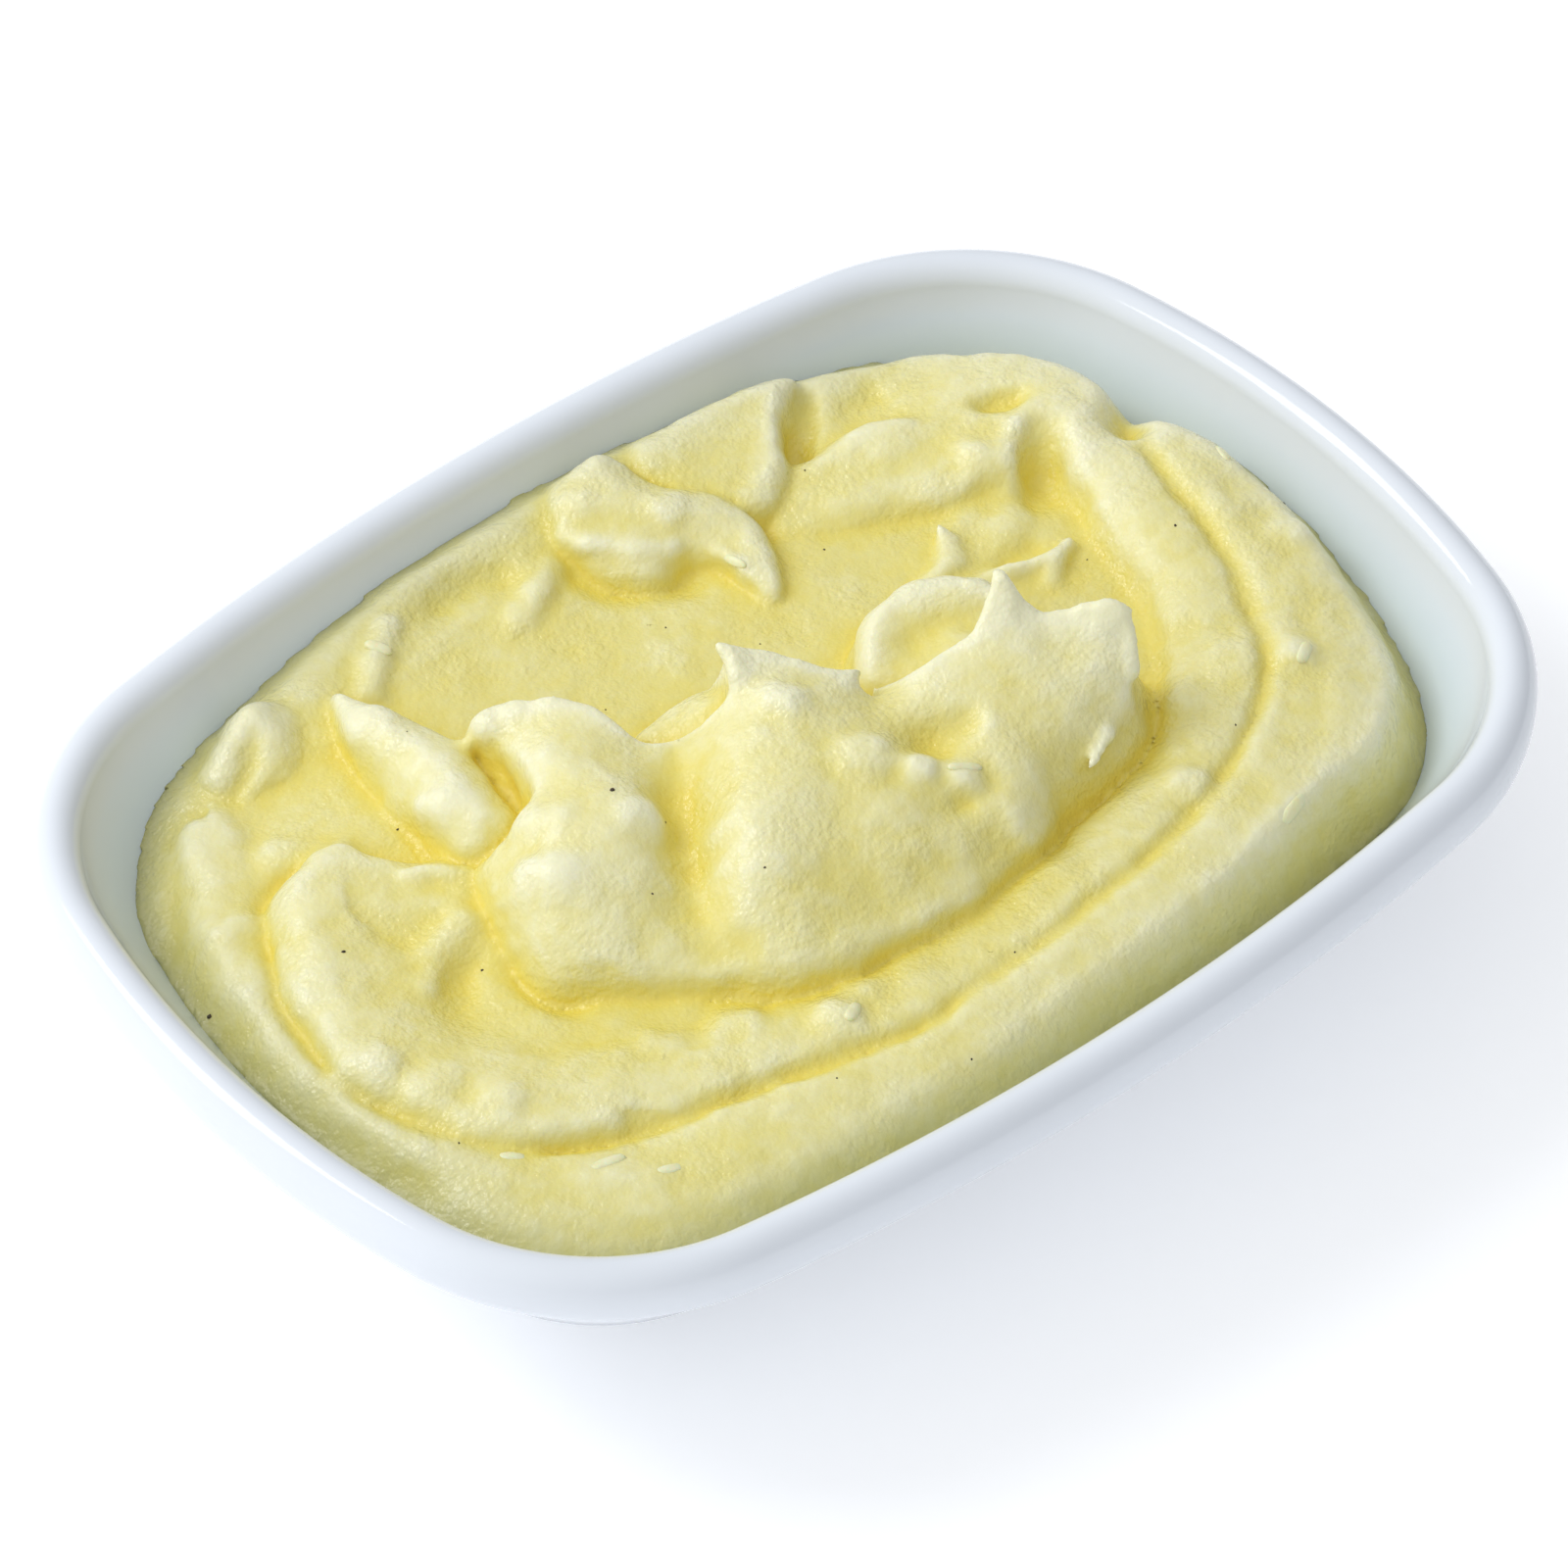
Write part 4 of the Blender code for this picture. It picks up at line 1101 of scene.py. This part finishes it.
def mash_material():
    """Buttery mash with a wet fine grain; deeper yellow in folds and basins and paler on crests as painted
    shade and glow, darker olive by the wall as painted contact shadow.
    """
    look = Shading("mash")
    shader = look.shader
    # Painted shade and glow: how hollow the surface is round each vertex turns creases and basins deeper
    # yellow and crests paler.
    crease_shade = look.math("MULTIPLY", look.math("SUBTRACT", look.attribute("crease_near"), 0.5), 1.3)
    wide_crease_shade = look.math("MULTIPLY", look.math("SUBTRACT", look.attribute("crease_wide"), 0.5), 1.7)
    basin_shade = look.math("MULTIPLY", look.attribute("relief"), -0.035)
    patchy = look.math("MULTIPLY", look.math("SUBTRACT", look.noise(9.0, 3.0), 0.5), 0.5)
    fine = look.math("MULTIPLY", look.math("SUBTRACT", look.noise(1.6, 3.0), 0.5), 0.35)
    total = look.math("ADD", look.math("ADD", crease_shade, wide_crease_shade), look.math("ADD", basin_shade, patchy))
    total = look.math("ADD", look.math("ADD", total, fine), 0.47, clamp=True)
    colour = look.ramp(total, (0.0, (0.84, 0.82, 0.56)), (1.0, (0.80, 0.66, 0.11)),
                       (0.22, (0.81, 0.77, 0.42)), (0.47, (0.77, 0.70, 0.26)),
                       (0.72, (0.77, 0.67, 0.17)))
    # Painted contact shadow: the mash turns darker olive close to the wall.
    wall_contact_shade = look.span(look.attribute("wall_contact_shade"), 0.05, 1.0, 0.0, 0.85)
    mixed = look.tree.nodes.new("ShaderNodeMix")
    mixed.data_type = "RGBA"
    look.put(wall_contact_shade, mixed.inputs[0])
    look.put(colour, mixed.inputs[6])
    mixed.inputs[7].default_value = (0.36, 0.34, 0.08, 1)
    colour = mixed.outputs[2]
    look.put(colour, shader.inputs["Base Color"])
    set_inputs(shader, IOR=1.42, Subsurface_Weight=0.18, Subsurface_Scale=0.0022)
    shader.inputs["Subsurface Radius"].default_value = (1.0, 0.8, 0.35)
    grain = look.noise(0.75, 1.5)
    moist = look.span(look.noise(7.0, 1.0), 0.38, 0.62)
    look.put(look.span(look.noise(3.0, 1.0), 0.3, 0.7, 0.34, 0.52), shader.inputs["Roughness"])
    look.put(look.bump(grain, look.span(moist, 0.0, 1.0, 0.35, 0.8), 0.30), shader.inputs["Normal"])
    look.put(look.span(moist, 0.0, 1.0, 0.15, 0.6), shader.inputs["Coat Weight"])
    set_inputs(shader, Coat_Roughness=0.12, Coat_IOR=1.45)
    look.put(look.bump(grain, 1.0, 0.45), shader.inputs["Coat Normal"])
    return look.material


def potato_material():
    """Pale waxy potato."""
    look = Shading("potato")
    look.put(look.ramp(look.noise(1.2, 2.0), (0.3, (0.80, 0.76, 0.42)), (0.7, (0.83, 0.81, 0.54))),
             look.shader.inputs["Base Color"])
    look.put(look.span(look.noise(0.8), 0.3, 0.7, 0.28, 0.5), look.shader.inputs["Roughness"])
    look.put(look.bump(look.noise(0.6), 0.5, 0.08), look.shader.inputs["Normal"])
    set_inputs(look.shader, Subsurface_Weight=0.18, Subsurface_Scale=0.0015)
    return look.material


def pepper_material():
    """Ground black pepper."""
    look = Shading("pepper")
    look.put(look.ramp(look.noise(0.3, 2.0), (0.35, (0.012, 0.010, 0.007)), (0.7, (0.075, 0.05, 0.02))),
             look.shader.inputs["Base Color"])
    look.put(look.span(look.noise(0.2), 0.3, 0.7, 0.5, 0.8), look.shader.inputs["Roughness"])
    look.put(look.bump(look.noise(0.12), 0.6, 0.05), look.shader.inputs["Normal"])
    return look.material


def porcelain_material():
    """White glaze with a cool cast, faintly uneven, unglazed under the foot; darker and bluer down the
    inner wall as painted shade.
    """
    look = Shading("porcelain")
    shader = look.shader
    parts = look.tree.nodes.new("ShaderNodeSeparateXYZ")
    look.tree.links.new(look.millimetres, parts.inputs[0])
    height = parts.outputs["Z"]
    # Painted shade: the inner wall turns darker and bluer from 30 mm down to 24 mm.
    inside = look.math("MULTIPLY", look.attribute("inside"), look.span(height, 30.0, 24.0))
    glaze_and_hollow_shade = look.ramp(inside, (0.0, (0.76, 0.80, 0.86)), (1.0, (0.69, 0.78, 0.86)))
    cloud = look.ramp(look.noise(26.0, 2.0), (0.3, (0.97, 0.97, 0.97)), (0.7, (1.0, 1.0, 1.0)))
    mixed = look.tree.nodes.new("ShaderNodeMix")
    mixed.data_type = "RGBA"
    mixed.blend_type = "MULTIPLY"
    mixed.inputs[0].default_value = 1.0
    look.tree.links.new(glaze_and_hollow_shade, mixed.inputs[6])
    look.tree.links.new(cloud, mixed.inputs[7])
    look.tree.links.new(mixed.outputs[2], shader.inputs["Base Color"])
    bare = look.span(height, 0.9, 0.4)
    gloss = look.span(look.noise(14.0, 2.0), 0.3, 0.7, 0.07, 0.15)
    look.put(look.math("ADD", gloss, look.math("MULTIPLY", bare, 0.6)), shader.inputs["Roughness"])
    ripple = look.bump(look.noise(8.0, 1.0), 0.5, 0.10)
    look.put(look.bump(look.noise(1.2, 2.0), look.span(bare, 0.0, 1.0, 0.06, 0.6), 0.05, ripple),
             shader.inputs["Normal"])
    set_inputs(shader, IOR=1.5)
    return look.material


# ---------------------------------------------------------------- stage
def direction(bearing, height_angle):
    """Unit vector from the object towards a viewer at that bearing and height."""
    bearing, height_angle = math.radians(bearing), math.radians(height_angle)
    return Vector((math.sin(bearing) * math.cos(height_angle),
                   -math.cos(bearing) * math.cos(height_angle), math.sin(height_angle)))


def make_camera():
    data = bpy.data.cameras.new("camera")
    data.lens = CAMERA_LENS
    data.sensor_width = 36.0
    camera = bpy.data.objects.new("camera", data)
    bpy.context.scene.collection.objects.link(camera)
    outward = direction(CAMERA_BEARING, CAMERA_HEIGHT_ANGLE)
    camera.location = Vector(CAMERA_TARGET) + outward * CAMERA_DISTANCE
    camera.rotation_euler = outward.to_track_quat("Z", "Y").to_euler()
    bpy.context.scene.camera = camera


def make_lamp(name, bearing, height_angle, distance, size, power):
    """A white square lamp that faces the dish."""
    data = bpy.data.lights.new(name, "AREA")
    data.size = size
    data.energy = power
    lamp = bpy.data.objects.new(name, data)
    bpy.context.scene.collection.objects.link(lamp)
    outward = direction(bearing, height_angle)
    lamp.location = outward * distance
    lamp.rotation_euler = outward.to_track_quat("Z", "Y").to_euler()


def make_stage():
    """A pale floor, a bright studio round it that is dimmer on the right, and one soft key lamp."""
    corners = [(x * FLOOR_REACH, y * FLOOR_REACH, FLOOR_TOP_LEVEL)
               for x, y in ((-1, -1), (1, -1), (1, 1), (-1, 1))]
    floor = new_mesh("floor", corners, [(0, 1, 2, 3)])
    material, shader = new_material("floor")
    shader.inputs["Base Color"].default_value = (0.93, 0.935, 0.95, 1)
    shader.inputs["Emission Color"].default_value = (1, 1, 1, 1)
    set_inputs(shader, Roughness=0.9, Emission_Strength=FLOOR_GLOW)
    floor.data.materials.append(material)
    world = bpy.data.worlds.new("studio")
    world.use_nodes = True
    nodes, link = world.node_tree.nodes, world.node_tree.links.new
    place = nodes.new("ShaderNodeTexCoord")
    side = nodes.new("ShaderNodeVectorMath")
    side.operation = "DOT_PRODUCT"
    side.inputs[1].default_value = direction(*STUDIO_BRIGHT_SIDE)
    link(place.outputs["Generated"], side.inputs[0])
    level = nodes.new("ShaderNodeMapRange")
    level.inputs["From Min"].default_value = -0.7
    level.inputs["From Max"].default_value = 0.9
    level.inputs["To Min"].default_value = STUDIO_DIMMEST
    level.inputs["To Max"].default_value = STUDIO_BRIGHTEST
    link(side.outputs["Value"], level.inputs["Value"])
    background = nodes["Background"]
    background.inputs["Color"].default_value = (0.97, 0.985, 1.0, 1)
    link(level.outputs["Result"], background.inputs["Strength"])
    bpy.context.scene.world = world
    make_lamp("key", KEY_BEARING, KEY_HEIGHT_ANGLE, KEY_DISTANCE, KEY_SIZE, KEY_POWER)
    bpy.context.scene.view_settings.view_transform = "Standard"


def main():
    make_camera()
    make_stage()
    dish = make_dish()
    dish.data.materials.append(porcelain_material())
    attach(dish, "root")
    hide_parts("dish")
    mash = make_mash()
    mash.data.materials.append(mash_material())
    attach(mash, "root")
    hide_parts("mash")
    pepper, bits = make_small_things(mash)
    for piece, material in ((pepper, pepper_material()), (bits, potato_material())):
        piece.data.materials.append(material)
        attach(piece, "root")
        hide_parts("mash")


main()
